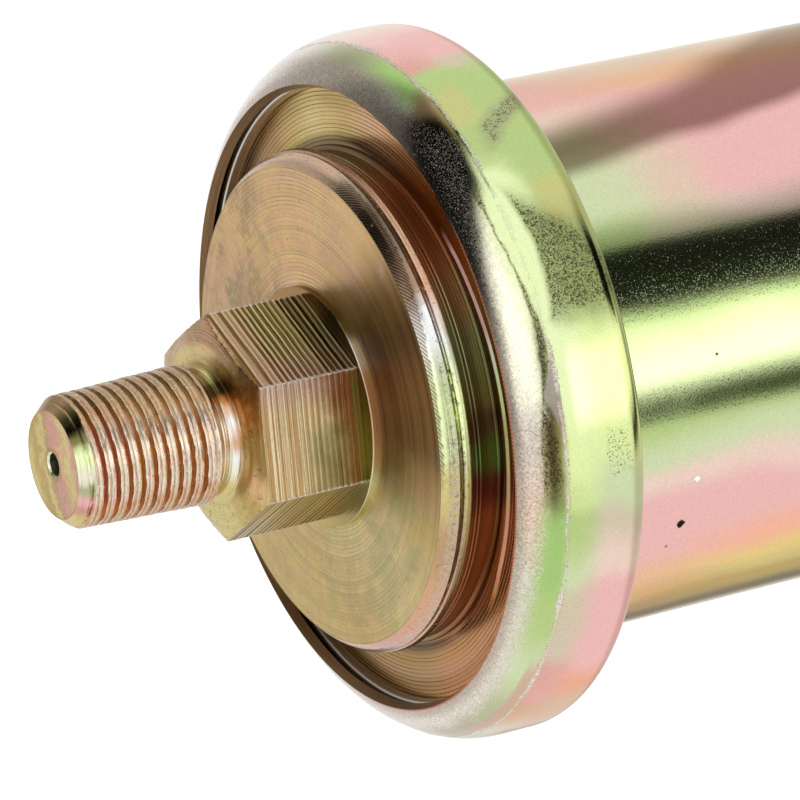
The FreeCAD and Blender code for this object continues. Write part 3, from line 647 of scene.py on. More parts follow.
def rim_wear(s, turn, grit):
    """Granular silver where the film is worn, with brown specks in it. Gives how worn it is."""
    ragged = s.x.wander(1, 0.7, 3, 0.6, seed=63).waver(2.4, grit)
    limit = turn.level({
        -160: 20.9, -145: 20.5, -120: 20.35, -102: 20.4, -92: 20.6, -82: 20.85, -74: 21.1, -62: 21.3,
        -42: 20.9, -20: 20.4, -8: 20.75, 12: 20.8, 32: 21.4, 50: 22})
    worn = (ragged - limit).step(0.5, -0.5)
    # The worn silver is real wear; its cream stretch in front, from -70 to -44, is painted highlight
    bare = turn.bands({
        -180: PEWTER, -150: SILVER, -106: SILVER, -90: BLUSH, -78: SILVER, -70: CREAM, -44: CREAM,
        -34: SILVER, 10: PEWTER, 40: SILVER, 180: PEWTER})
    bare = s.mix(s.x.waver(0.9, grit).step(20, 19.6), bare, PEWTER)
    s.paint(bare, worn * 0.92)
    s.grain(6.5, 1.5, worn * 0.8, seed=65)
    brown = turn.wander(10, 0.6, 3, seed=106).hump(-98, -78, 8)
    s.paint(OCHRE, s.specks(brown * 0.5 + 0.3, 5, seed=91) * worn * 0.5)
    return worn


def die_line(s, turn, grit):
    """The pale broken line that the rolling die left, and a scar across it. Gives the share of each."""
    place = s.x.wander(0.5, 0.45, seed=7)
    spread = s.around(0, 0, 0.11, seed=8).step(0.42, 0.7)
    away = (abs(place - DIE_LINE) - (spread * 0.16 + 0.02)).waver(0.62, grit)
    broken = s.around(0, 0, 0.5, detail=3, seed=92).step(0.4, 0.5)
    marked = away.step(0.06, 0) * broken * (1 - turn.hump(-58, -36, 4) * 0.75)
    scar = abs((s.angle - SCAR_ANGLE).waver(4, grit)) - (s.x - SCAR_PLACE) * 7
    scar = scar.step(1, -1) * s.x.waver(0.3, grit).step(22.3, 22.15)
    s.paint(STAIN_AND_SHADE, scar * 0.9)
    s.paint(s.mix(grit.step(0.48, 0.4), SILVER, TAUPE), marked)
    return marked, scar


def rim_lean(s):
    """Height of the flat, which leans back a little, and of the bend that runs smoothly into it."""
    bend = (s.x - BEND_START).clamp(0, flange_back - BEND_START)
    return bend * bend * (0.5 / RIM_CURL) + s.x.clamp(flange_back, rim_back) * FLAT_LEAN


def rim_plating():
    """Rolled rim: pink, green, lime and pink again round it, worn granular silver towards the lip."""
    s = Shader("rim_plating")
    rim_tints(s, s.angle.wander(16, 0.13, seed=4).wander(5, 0.45, seed=105))
    turn = s.angle.wander(5, 0.14, seed=4)
    grit = s.noise(6.5, 2, 0.6, seed=6)
    worn = rim_wear(s, turn, grit)
    light = rim_shadows(s, turn)
    marked, scar = die_line(s, turn, grit)
    bead = s.math("SINE", s.angle * 9).step(-0.4, 0.5)
    lip = s.radius.step(lip_radius + 0.13, lip_radius + 0.09) * s.x.step(21, 20) * s.angle.hump(-170, -44, 8)
    s.paint(s.mix(bead, RUST, ROSE_RUST), lip)
    s.paint(TAUPE, s.x.step(27, 27.6) * 0.5, "MULTIPLY")
    s.grain(7.5, 0.4, seed=64)
    matt = s.math("MAXIMUM", s.math("MAXIMUM", marked * 0.8, scar * 0.9), light)
    matt = s.math("MAXIMUM", matt, lip * 0.7)
    normal = s.bump(rim_lean(s), 1, orange_peel(s))
    return s.finish(worn * 0.04 + 0.12, metallic=1 - matt, normal=s.bump(marked, 0.02, normal))


def lip_cut():
    """The sheet's sheared edge, brown with fine lines round it."""
    s = Shader("lip_cut")
    lines = s.around(14, 14, 0.05, detail=3, seed=10)
    s.colour = s.mix(lines, BROWN, SAND)
    return s.finish(0.35, normal=s.bump(lines, 0.02))


def can_inside():
    s = Shader("can_inside")
    s.colour = s.mix(s.noise(0.3, seed=11), SAND, OLIVE)
    return s.finish(0.35, normal=orange_peel(s, 0.01))


def tip_face():
    """Face of the stud: green gold mottled with pink, dirt specks and faint turning marks."""
    s = Shader("tip_face")
    place = (s.z * 0.45 - s.y).wander(7.5, 0.42, 5, 0.68, seed=12)
    s.colour = place.bands({
        -4.2: STRAW, -2.4: GOLD, -1.2: STRAW, -0.2: SAND, 0.8: ROSE, 1.8: PEACH_DEEP, 2.8: STRAW, 4.2: ROSE})
    s.paint(OCHRE, s.noise(2.4, 4, 0.7, seed=13).step(0.58, 0.68) * 0.5)
    path, pick = s.radius.scallops(0.19)
    s.paint(OCHRE, path * pick * 0.16)
    mouth = s.radius.wander(0.8, 1.4, 3, seed=93).step(PORT_RADIUS + 0.7, PORT_RADIUS + 0.1)
    s.paint(OCHRE, mouth * 0.6)
    s.paint(OCHRE, s.radius.step(TIP_FLAT - 0.22, TIP_FLAT - 0.02) * 0.5)
    s.paint(BROWN, s.specks(0.3, 3.4, seed=94) * 0.5)
    s.grain(6, 0.6, seed=14)
    return s.finish(0.36, normal=s.bump(path * pick, 0.006), turned=0.4)


def tip_chamfer():
    """Chamfer: lines round it, dark olive above, a painted cream highlight in front, pink and gold below."""
    s, _ = banded("tip_chamfer", {
        -180: GOLD, -140: STRAW, -122: ROSE, -108: PINK, -96: SAGE, -84: CREAM, -62: LIME, -48: OLIVE,
        -34: SOOT, -22: OLIVE, -2: SAND, 20: OCHRE, 90: GOLD, 180: GOLD}, 16, 0.9, 3, seed=15)
    lines = s.around(12, 0, 0.02, detail=3, seed=16)
    s.paint(KHAKI, lines.step(0.5, 0.62) * 0.2)
    return s.finish(0.26, normal=s.bump(lines, 0.02), turned=0.4)


def thread_crests(s, turns, turn):
    """Torn tan and pink crests, with bright hair lines along the helix and a painted highlight line along
    each burred edge.
    """
    phase = s.math("FRACT", (turns + 0.5).wander(0.11, 2.6, 4, 0.7, seed=19))
    place = s.node("ShaderNodeCombineXYZ", {0: turns * 11, 2: s.angle * 0.035})
    hair = s.node("ShaderNodeTexNoise", {"Vector": place, "Scale": 1, "Detail": 4, "Roughness": 0.6})
    crest = hair.bands({
        0.28: OCHRE, 0.36: TAN, 0.42: STRAW, 0.46: WHITE, 0.49: ROSE, 0.53: AMBER, 0.57: BLUSH, 0.61: WHITE,
        0.66: LEAF, 0.74: STRAW})
    over = turn.bands({
        -180: STRAW, -140: SAND, -120: AMBER, -98: WHITE, -56: WHITE, -34: TAN, -8: KHAKI, 30: KHAKI,
        90: GOLD, 180: STRAW})
    crest = s.mix(0.7, crest, over, "MULTIPLY")
    # Painted highlight: bright lines along the crests' burred edges, cream in front
    burr_highlight = phase.hump(0.2, 0.25, 0.03) + phase.hump(0.58, 0.62, 0.03)
    bright = turn.bands({-180: STRAW, -110: BLUSH, -92: CREAM, -52: CREAM, -36: STRAW, 0: SAND, 180: SAND})
    return s.mix(phase.hump(0.42, 0.46, 0.04) * 0.65, s.mix(burr_highlight * 0.75, crest, bright), OCHRE)


def thread_roots(s, turn):
    """Roots of the thread, copper near the tip and honey beyond."""
    early = turn.bands({
        -180: STRAW, -142: AMBER, -124: ORANGE, -104: COPPER, -40: COPPER, -20: OCHRE, 10: OCHRE_PALE,
        180: GOLD})
    later = turn.bands({
        -180: STRAW, -142: AMBER, -110: HONEY, -60: HONEY, -40: AMBER, -20: GOLD, 10: OCHRE_PALE, 180: GOLD})
    return s.mix(s.x.wander(3, 0.5, seed=66).step(tip + 3, tip + 5), early, later)


def thread():
    """The stud's thread, with dirt and bright specks on its torn crests and darker roots."""
    s = Shader("thread")
    turns = (s.x - tip) * (1 / THREAD_PITCH) + s.angle * (1 / 360)
    turn = s.angle.wander(26, 0.5, 3, seed=18)
    depth = s.node("ShaderNodeAttribute", output="Fac", attribute_name="depth")
    rooted = depth.wander(0.35, 2.6, 3, seed=95).step(0.25, 0.5)
    s.colour = s.mix(rooted, thread_crests(s, turns, turn), thread_roots(s, turn))
    s.paint(BROWN, s.specks(0.55, 3.4, seed=20) * 0.35)
    s.paint(CREAM, s.specks(0.5, 5, seed=67) * 0.85)
    fine = s.math("FRACT", turns * 7)
    normal = s.bump(s.noise(6, 3, 0.7, seed=22), 0.008, s.bump(fine, 0.008))
    return s.finish(0.3, metallic=1 - rooted * 0.75, normal=normal, turned=0.3)


def neck():
    """Neck and fillet: a dark band near the top, then peach and white with cream stripes of painted
    highlight, straw below.
    """
    s, turn = banded("neck", {
        -180: STRAW, -130: STRAW, -108: CREAM, -96: WHITE, -80: PEACH, -64: WHITE, -52: PEACH, -42: HONEY,
        -32: BROWN, -22: OLIVE, -6: STRAW, 20: GOLD, 180: GOLD}, 14, 0.7, 3, seed=23)
    path, pick = (s.x + s.radius * 0.9).scallops(0.22)
    # Painted highlight: cream stripes on the neck in front
    s.paint(CREAM, pick.step(0.5, 0.56) * turn.hump(-108, -48, 10) * 0.8)
    s.paint(OCHRE, path * pick * 0.4)
    outward = s.radius.wander(0.6, 1, seed=79).step(NECK_RADIUS + 0.25, NECK_RADIUS + 0.7)
    s.paint(STRAW, outward * turn.hump(-112, -30, 12) * 0.4)
    # Darker in a narrow band near the top
    s.paint(UMBER, s.angle.wander(12, 1.6, 4, 0.7, seed=68).hump(-32, -25, 6) * 0.7)
    return s.finish(0.26, normal=s.bump(path * pick, 0.01), turned=0.4)


def hex_front():
    """Front face and turned chamfer of the hexagon, tan and gold with pink and dark mottling, and painted
    shade near its outer edge.
    """
    s, turn = banded("hex_front", {
        -180: STRAW, -150: STRAW, -124: GOLD, -104: AMBER, -80: GOLD, -64: HONEY, -36: OCHRE, -18: SAND,
        0: PEACH_DEEP, 22: SAND, 40: TAN, 60: SAND, 90: GOLD, 180: STRAW}, 34, 0.5, 5, 0.65, seed=25)
    arc = s.radius.wander(1.6, 0.7, 3, seed=96).hump(5.5, 6.3, 0.4)
    s.paint(STRAW, arc * turn.step(-30, -5) * 0.65)
    s.paint(STRAW, s.noise(0.8, 5, 0.7, seed=69).step(0.46, 0.66) * 0.45)
    s.paint(BROWN, s.specks(0.62, 2.6, seed=26) * 0.6)
    path, pick = (s.radius + s.x).scallops(0.26)
    s.paint(OCHRE, path * pick * 0.25)
    # Painted shade: darker brown towards the outer edge, on the upper front side
    s.paint(BROWN, turn.hump(-90, -34, 14) * s.radius.step(6.6, 8) * 0.6)
    s.grain(6, 0.5, seed=70)
    return s.finish(0.34, normal=s.bump(path * pick, 0.01), turned=0.4)


def flat_tints(s, front, upper):
    """Tints of the milled ridges and of the hollows between them, redder towards the disc."""
    # The milled marks are real; the ivory on the front flat's ridges is painted highlight and the umber in
    # the upper flat's hollows is painted shade
    ridge = s.angle.bands({
        -180: STRAW, -111: STRAW, -109: IVORY, -66: IVORY, -52: BLUSH, -50.5: BLUSH, -49.5: TAN, -20: STRAW,
        9: STRAW, 11: SAND, 180: KHAKI})
    hollow = s.angle.bands({
        -180: BROWN, -111: OCHRE, -109: WHEAT, -66: WHEAT, -51: TAN, -49: BROWN, -20: UMBER, 9: UMBER,
        11: OCHRE, 180: OCHRE})
    left = upper * s.x.wander(3, 0.6, 3, seed=97).step(hex_face + 4.2, hex_face + 1.6)
    ridge = s.mix(left * 0.7, ridge, TAN)
    hollow = s.mix(left * 0.7, hollow, OCHRE)
    rear = s.x.wander(4, 0.6, 3, seed=28).step(collar_face - 4.6, collar_face - 0.8)
    ridge = s.mix(rear * front * 0.9, ridge, RUST)
    hollow = s.mix(rear * front, hollow, RUST)
    last = front * s.x.step(collar_face - 1, collar_face - 0.6)
    return s.mix(rear * 0.4 * upper, s.mix(last * 0.7, ridge, FERN_DARK), MOSS), hollow


def worn_corners(s, sixths):
    """Bright corners of the hexagon, and silver and brown specks along its front edge."""
    corner = abs(s.math("FRACT", sixths + 100.5) - 0.5) * 60
    grit = s.noise(5, 3, 0.7, seed=29)
    steep = HEX_CHAMFER / (hex_corner - HEX_FACE_RADIUS)
    ahead = s.x - hex_face - (s.radius - HEX_FACE_RADIUS) * steep
    edge = ahead.waver(0.5, grit).step(0.1, 0.02)
    s.paint(s.mix(grit.step(0.45, 0.55), BROWN, SILVER), edge * 0.7)
    s.paint(SILVER, corner.waver(3.2, grit).step(0.9, 0.3) * 0.9)


def hex_flats():
    """Milled flats: bright ridges and brown hollows, a green patch in front and worn corners."""
    s = Shader("hex_flats")
    front = s.angle.hump(-109, -51, 2)
    upper = s.angle.hump(-49, 9, 2)
    ridge, hollow = flat_tints(s, front, upper)
    sixths = (s.angle - HEX_TURN) * (1 / 60)
    bend = s.noise(0.3, seed=71) * 0.5
    path, pick = s.x.scallops(MILL_PITCH, s.math("FLOOR", sixths) * 0.37 + bend)
    lines = s.around(16, 0, 0.004, detail=4, seed=30)
    depth = (path * (pick * 0.7 + 0.45)).waver(front * 1.2 + 0.7, lines)
    s.colour = s.mix(depth.step(0.25, 0.7), ridge, hollow)
    fine, finer = s.x.waver(0.08, lines).scallops(0.16)
    s.paint(ridge, finer.step(0.62, 0.66) * fine.step(0.4, 0.9) * 0.55)
    s.paint(s.mix(front, hollow, OCHRE), finer.step(0.3, 0.26) * fine.step(0.4, 0.9) * 0.55)
    green = s.x.wander(1, 0.8, 3, seed=111).hump(hex_face + 5, hex_face + 6.6, 1.6)
    green *= s.angle.hump(-107, -86, 16)
    s.paint(MOSS, green * 0.5)
    s.paint(CREAM, s.specks(0.3, 4.4, seed=98) * 0.6)
    s.grain(6.5, 0.45, seed=31)
    worn_corners(s, sixths)
    normal = s.bump(depth, 0.03, s.bump(s.noise(6, 2, 0.6, seed=72), 0.004))
    metallic = 1 - upper * depth.step(0.6, 0.25) * 0.35
    return s.finish(0.32, metallic=metallic, normal=normal, turned=0.3)


def collar():
    """Thin collar at the foot of the hexagon, with a painted highlight along its edge."""
    s, turn = banded("collar", {
        -180: GOLD, -130: STRAW, -108: CREAM, -88: PEACH, -60: PEACH, -44: WHITE, -30: OLIVE, 0: OCHRE,
        20: SAND, 180: GOLD}, 14, 0.5, seed=32)
    flat = turn.bands({-180: GOLD, -120: OLIVE, -96: LEAF, -60: OLIVE, -20: UMBER, 0: OCHRE, 180: GOLD})
    s.paint(flat, s.x.step(collar_face + 0.04, collar_face + 0.01))
    marks = s.around(12, 5, 0.02, seed=33)
    # Painted highlight: a matt cream line along the collar's outer edge in front
    edge = s.radius.step(COLLAR_RADIUS - 0.06, COLLAR_RADIUS - 0.04) * turn.hump(-100, -30, 8)
    edge *= s.x.step(collar_face + 0.12, collar_face + 0.08)
    return s.finish(0.22, metallic=1 - edge * 0.9, normal=s.bump(marks, 0.015), turned=0.4)


def disc_tints(s, turn):
    """Wheat and gold, greener below and brown at the right as painted dark reflection, with rosy and mottled
    patches.
    """
    # The brown bands from -80 to -44 are painted dark reflection
    outer = turn.bands({
        -180: BRASS, -155: GOLD, -125: REED, -106: GOLD, -93: OCHRE_PALE, -80: BROWN, -58: BROWN, -40: OCHRE,
        -20: WHEAT, 55: WHEAT, 80: SAND, 110: WHEAT, 150: BRASS, 180: BRASS})
    inner = turn.bands({
        -180: BRASS, -146: REED, -114: REED, -98: OLIVE, -80: BROWN, -44: BROWN, -22: SAND, 6: WHEAT,
        30: WHEAT, 60: OCHRE_PALE, 84: KHAKI, 110: WHEAT, 150: BRASS, 180: BRASS})
    near = s.radius.wander(4, 0.25, seed=35).step(10.5, 15.5)
    s.colour = s.mix(near, inner, outer)
    s.paint(ROSE, s.noise(0.3, 4, 0.6, seed=73).step(0.5, 0.64) * turn.hump(-30, 70, 20) * 0.6)
    play = s.noise(0.55, 4, 0.62, seed=110).bands({
        0.34: STRAW, 0.44: WHEAT, 0.5: ROSE, 0.56: SAND, 0.62: STRAW, 0.7: MOSS})
    s.paint(play, turn.hump(-100, -30, 24).step(1, 0) * 0.34)


def disc_face_plating():
    """Turned face: fine and coarse rings round it, grey stains at the left and dirt specks."""
    s = Shader("disc_face")
    turn = s.angle.wander(26, 0.12, 3, seed=34)
    disc_tints(s, turn)
    path, pick = s.radius.wander(0.14, 0.2, seed=74).scallops(0.31)
    tint = pick.bands({0: OCHRE, 0.35: WHEAT, 0.7: STRAW, 1: OLIVE}, ease="LINEAR")
    s.paint(tint, (pick + 0.4) * 0.26)
    seen = s.noise(0.16, 3, 0.6, seed=107).step(0.4, 0.6) * 0.65 + 0.35
    groove = path.step(0.45, 0.1) * (pick * 0.8 + 0.2) * seen
    fine, finer = s.radius.scallops(0.14)
    thin = fine.step(0.5, 0.1) * finer
    s.paint(BROWN, groove * 0.85)
    s.paint(OCHRE, thin * 0.55)
    s.paint(MOSS, s.noise(0.35, 4, 0.6, seed=108).step(0.45, 0.62) * turn.hump(-170, -96, 20) * 0.4)
    left = s.angle.hump(44, 120, 20)
    s.paint(PUTTY, s.noise(0.4, 6, 0.7, seed=36.4).step(0.42, 0.62) * left * 0.65)
    s.paint(SMOKE, s.noise(0.5, 6, 0.72, seed=75).step(0.56, 0.7) * 0.2)
    s.paint(UMBER, s.specks(0.36, 3.2, seed=37) * 0.6)
    s.grain(6.5, 0.45, seed=38)
    return s.finish(0.34, normal=s.bump(groove + thin * 0.5, -0.012), turned=0.6)


def disc_edge():
    """Chamfer, side and bead of the disc, with slanting chatter marks from the tool beside the face, a
    painted lime and white highlight in front and painted shade above it.
    """
    s, turn = banded("disc_edge", {
        -180: SAND, -150: ROSE, -122: PEACH_DEEP, -106: SAND, -90: STRAW, -80: LIME, -70: LIME, -50: WHITE,
        -42: TAN, -28: TAUPE, -14: TAUPE, 0: TAN, 40: SAND, 60: SILVER, 180: SAND}, 12, 0.3, seed=39)
    place = s.x - disc_face
    upper = s.angle.wander(8, 0.4, seed=41).hump(-84, -12, 8)
    path, pick = (s.angle + s.x * 6).scallops(1.1)
    reach = s.angle.level({-90: 0.08, -74: 0.16, -60: 0.26, -48: 0.5, -34: 0.85, -14: 0.85})
    short = place - (pick * 0.12 + reach)
    cut = upper * short.step(0.06, -0.04)
    # Painted shade: brown over the chamfer on the upper front
    s.paint(BROWN, s.angle.wander(6, 0.6, seed=99).hump(-46, -14, 8) * place.step(0.95, 0.6) * 0.55)
    s.paint(TAN, cut * path.step(0.5, 0.15) * 0.6)
    s.paint(UMBER, cut * path.step(0.3, 0.6) * 0.7)
    # Painted shade: umber on the side, upper front
    side = place.hump(0.44, 1.3, 0.06)
    s.paint(UMBER, side * s.angle.wander(10, 1.2, 3, seed=76).hump(-42, -22, 7) * 0.4)
    mottle = s.noise(3.4, 4, 0.7, seed=40)
    lower = s.angle.hump(-178, -80, 8)
    s.paint(PEWTER, mottle.step(0.42, 0.56) * lower * place.hump(0.5, 1.5, 0.1) * 0.75)
    chips = s.noise(1.6, 4, 0.7, seed=100).step(0.54, 0.6) * place.hump(0.8, 1.5, 0.2)
    chips *= s.angle.hump(-100, -62, 6)
    s.paint(SMOKE, chips * 0.55)
    pits = s.noise(2.4, 4, 0.7, seed=43).step(0.6, 0.68)
    s.paint(BROWN, pits * 0.35)
    s.paint(OLIVE, place.step(1.6, 1.75) * s.angle.hump(-46, 4, 10).step(1, 0) * 0.5)
    s.paint(PEACH, place.step(1.3, 1.45) * turn.hump(-46, 4, 10) * 0.75)
    s.grain(6.5, 0.5, seed=81)
    marks = s.around(8, 4, 0.03, detail=4, seed=42)
    normal = s.bump(pits, -0.02, s.bump(marks, 0.012))
    return s.finish(0.22, normal=normal, turned=0.3)


def waist():
    """The undercut: brown above, olive and rust at the right with a painted green glint, and fine lines."""
    # The dark fern band near -84 is a painted green glint
    s, turn = banded("waist", {
        -180: OCHRE, -150: OCHRE, -134: RUST, -100: RUST, -90: MAROON, -84: FERN_DARK, -76: BROWN,
        -68: OLIVE, -56: MOSS, -46: OCHRE_PALE, -34: TOFFEE, -16: TOFFEE, 0: OCHRE_PALE, 20: OCHRE, 60: GOLD,
        180: OCHRE}, 14, 0.25, seed=44)
    lines = s.around(11, 6, 0.008, detail=4, seed=45)
    s.paint(SOOT, lines.step(0.48, 0.6) * 0.45)
    hair = s.around(16, 9, 0.006, detail=3, seed=101).step(0.6, 0.66) * turn.hump(-84, -30, 8)
    s.paint(STRAW, hair * 0.5)
    return s.finish(0.26, metallic=0.8, normal=s.bump(lines, 0.012), turned=0.4)


def flange():
    """Flange face seen in the gap: gold and pink rings above, a painted shadow at the waist's foot, dark
    with a painted bright streak at the right.
    """
    s, turn = banded("flange", {
        -180: OCHRE, -160: OCHRE, -144: TOFFEE, -128: TOFFEE, -112: HONEY, -98: SALMON, -84: RUST,
        -60: MAROON, -38: RUST, -20: HONEY, -4: PEACH_DEEP, 12: GOLD, 24: STRAW, 34: GOLD, 46: OCHRE,
        60: BROWN, 110: BROWN, 180: OCHRE}, 14, 0.25, seed=46)
    outward = s.radius.wander(0.5, 0.5, seed=82).bands({
        18.8: BROWN, 19.4: OCHRE, 20.2: GOLD, 21.4: PEACH_DEEP, 22.2: OCHRE, 23.2: HONEY, 24.5: HONEY})
    s.paint(outward, 0.3)
    # Painted shadow at the foot of the waist
    foot = s.radius.step(20.1, 19.2) * turn.hump(-130, -30, 20).step(1, 0)
    s.paint(BROWN, foot * 0.75, "MULTIPLY")
    path, pick = s.radius.wander(0.1, 0.3, seed=47).scallops(FLANGE_GROOVE)
    fine, finer = s.radius.scallops(0.13)
    groove = path.step(0.6, 0.15) * (pick * 0.6 + 0.3)
    s.paint(BROWN, groove * 0.75)
    s.paint(OLIVE, fine * finer * 0.35)
    # Painted highlight: a bright matt streak near the lip's edge, at the right
    streak = s.angle.level({
        -130: 20.6, -110: 19.9, -90: 19.75, -75: 19.75, -60: 19.7, -48: 19.5, -36: 19.35})
    near = s.radius - streak
    tint = turn.bands({
        -180: OCHRE, -124: HONEY, -104: SALMON, -90: AMBER, -80: STRAW, -70: LEMON, -62: CREAM, -54: PINK,
        -40: PINK, -32: RUST, 180: OCHRE})
    lit = near.hump(-0.16, 0.2, 0.12) * turn.hump(-118, -40, 8)
    s.paint(tint, lit)
    s.grain(6.5, 0.4, seed=83)
    return s.finish(0.24, metallic=1 - lit, normal=s.bump(groove, -0.02), turned=0.4)


def bore():
    """Drilled port: green gold glints inside a dark hole."""
    s = Shader("bore")
    s.colour = s.mix(s.noise(1.6, 3, seed=49).step(0.4, 0.6), LEAF, CREAM)
    s.paint(OLIVE, s.x.step(tip + 0.5, tip + 1.6))
    return s.finish(0.3, normal=s.bump(s.noise(3, 3, seed=80), 0.05))


def bright_ring():
    """Aluminium ring in front of the flange, with fine lines round it."""
    s = Shader("bright_aluminium")
    lines = s.around(9, 9, 0.012, detail=4, seed=50)
    s.colour = s.mix(lines, STEEL, SILVER)
    return s.finish(0.28, normal=s.bump(lines, 0.015), turned=0.4)


def worn_metal(name, light, dark, roughness):
    """A plain metal whose tint and gloss vary a little."""
    s = Shader(name)
    cloud = s.noise(1.2, 4, 0.6, seed=51)
    s.colour = s.mix(cloud.step(0.35, 0.65), dark, light)
    normal = s.bump(s.noise(6, 3, seed=52), 0.01)
    return s.finish(cloud * 0.16 + (roughness - 0.08), normal=normal)


def moulded(name, light, dark, roughness):
    """Plastic, board or rubber with a faint mottle and grain."""
    s = Shader(name)
    cloud = s.noise(0.8, 4, 0.6, seed=53)
    s.colour = s.mix(cloud.step(0.3, 0.7), dark, light)
    return s.finish(roughness, metallic=0, normal=s.bump(s.noise(9, 3, 0.6, seed=54), 0.01))


def wound_wire():
    """Resistance wire: dull nickel with a faint warm tint from turn to turn."""
    s = Shader("resistance_wire")
    s.colour = s.mix(s.noise(1.5, 3, seed=55), srgb(150, 140, 128), srgb(196, 184, 168))
    return s.finish(0.32, normal=s.bump(s.noise(8, seed=56), 0.01))


def slot_materials():
    """One finish for each of the record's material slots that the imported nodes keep."""
    kinds = {
        "black_rubber": (moulded, srgb(44, 43, 42), srgb(28, 28, 28), 0.7),
        "spring_bronze": (worn_metal, srgb(206, 158, 104), srgb(176, 124, 78), 0.3),
        "zinc_steel": (worn_metal, srgb(196, 198, 200), srgb(164, 168, 172), 0.36),
        "spring_steel": (worn_metal, srgb(170, 172, 176), srgb(132, 134, 138), 0.28),
        "brass": (worn_metal, srgb(222, 190, 116), srgb(194, 156, 84), 0.26),
        "silver_alloy": (worn_metal, srgb(226, 224, 218), srgb(196, 192, 184), 0.24),
        "brown_board": (moulded, srgb(128, 78, 42), srgb(104, 60, 32), 0.5),
        "black_plastic": (moulded, srgb(40, 38, 38), srgb(26, 25, 25), 0.42),
        "terminal_zinc": (worn_metal, srgb(214, 204, 164), srgb(176, 166, 128), 0.3),
    }
    finishes = {slot: make(slot, *look) for slot, (make, *look) in kinds.items()}
    return finishes | {"resistance_wire": wound_wire()}


def thread_radius(x, angle, first, pitch, crest, depth):
    """Radius of a right-hand thread, and its depth as a share, 0 on the crest and 1 in the root."""
    turns = (x - first) / pitch + angle / (2 * math.pi)
    from_root = np.abs(turns - np.floor(turns) - 0.5)
    share = 1 - smoothstep(ROOT_SHARE / 2, (1 - CREST_SHARE) / 2, from_root)
    return crest - depth * share, share


def fitting_profile():
    """Section of the turned fitting, from inside the port round the outside and back."""
    p = Profile(tip + PORT_LENGTH, PORT_RADIUS)
    p.line("bore", tip + PORT_MOUTH, PORT_RADIUS, 4).line("bore", tip, PORT_RADIUS + PORT_MOUTH)
    p.line("tip_face", tip, TIP_FLAT, 8)
    p.line("tip_chamfer", tip + TIP_CHAMFER, THREAD_TIP_RADIUS, 14)
    p.line("thread", thread_end, NECK_RADIUS, 190)
    p.line("neck", hex_face - NECK_FILLET, NECK_RADIUS, 5)
    p.arc("neck", hex_face - NECK_FILLET, NECK_RADIUS + NECK_FILLET, NECK_FILLET, 180, 90, 8)
    p.line("hex_front", hex_face, HEX_FACE_RADIUS, 3)
    p.line("hex_front", hex_face + HEX_CHAMFER, hex_corner, 8)
    p.line("hex_flats", collar_face, hex_corner, 28)
    p.line("collar", collar_face, COLLAR_RADIUS - COLLAR_CHAMFER)
    p.line("collar", collar_face + COLLAR_CHAMFER, COLLAR_RADIUS)
    p.line("collar", disc_face, COLLAR_RADIUS, 2)
    p.line("disc_face", disc_face, disc_radius - DISC_FACE_INSET, 14)
    p.steps("disc_edge", disc_face, disc_radius, DISC_EDGE)
    p.arc("disc_edge", disc_back - DISC_BEAD, disc_radius - DISC_BEAD, DISC_BEAD, 0, 90, 6)
    p.line("waist", disc_back, waist_radius)
    for place in WAIST_RIDGES:
        p.steps("waist", disc_back + place, waist_radius, WAIST_RIDGE)
    p.steps("waist", flange_face, waist_radius, WAIST_FOOT)
    curl = RIM_CURL - SHEET - SEAT_GAP
    rise = math.degrees(math.asin((flange_back - flange_face) / curl))
    p.line("flange", flange_face, curl_radius + curl * math.cos(math.radians(rise)), 16)
    p.arc("flange", flange_back, curl_radius, curl, -rise, 0, 6)
    p.line("bore", flange_back, CHAMBER_RADIUS, 3)
    p.line("bore", flange_back - CHAMBER_DEPTH, CHAMBER_RADIUS - CHAMBER_DEPTH, 2)
    p.line("bore", flange_back - CHAMBER_DEPTH, BORE_RADIUS, 3)
    p.line("bore", tip + PORT_LENGTH, BORE_RADIUS, 4).line("bore", tip + PORT_LENGTH, PORT_RADIUS)
    return p


def build_fitting():
    """The turned and milled fitting as one closed mesh, with its real thread."""
    x, r, angle, zones = fitting_profile().grid(columns=240, turn=HEX_TURN)
    zone = np.array(zones)
    depth = np.zeros(x.shape)

    rows = np.isin(zone, ("thread", "tip_chamfer"))
    along, around = x[rows], angle[rows]
    fading = 1 - smoothstep(thread_end - RUN_OUT, thread_end - RUN_OUT_END, along)
    crest = THREAD_TIP_RADIUS + THREAD_TAPER * (along - tip)
    cut, share = thread_radius(along, around, tip, THREAD_PITCH, crest, THREAD_DEPTH)
    cut = crest - (crest - cut) * fading
    torn = streaks(along, around, 0.16, 0.12, 1) + streaks(along, around, 0.4, 0.5, 2)
    cut += torn * THREAD_TEAR * (1 - share)
    cut -= smoothstep(thread_end - NECK_BLEND, thread_end, along) * (cut - NECK_RADIUS)
    cone = TIP_FLAT + (along - tip) * (THREAD_TIP_RADIUS - TIP_FLAT) / TIP_CHAMFER
    r[rows] = np.minimum(cut, cone)
    depth[rows] = share * fading

    corner_cone = HEX_FACE_RADIUS + (x - hex_face) * (hex_corner - HEX_FACE_RADIUS) / HEX_CHAMFER
    local = (np.degrees(angle) - HEX_TURN) % 60 - 30
    rows = (zone == "hex_flats") | ((zone == "hex_front") & (x[:, 0] > hex_face))
    r[rows] = np.minimum(HEX_FLATS / 2 / np.cos(np.radians(local[rows])), corner_cone[rows])

    finishes = {"bore": bore(), "tip_face": tip_face(), "tip_chamfer": tip_chamfer(), "thread": thread(),
                "neck": neck(), "hex_front": hex_front(), "hex_flats": hex_flats(), "collar": collar(),
                "disc_face": disc_face_plating(), "disc_edge": disc_edge(), "waist": waist(),
                "flange": flange()}
    return turned_mesh("fitting_body", x, r, angle, zones, finishes, "housing",
                       ["base_fitting"], depth, crease=28)


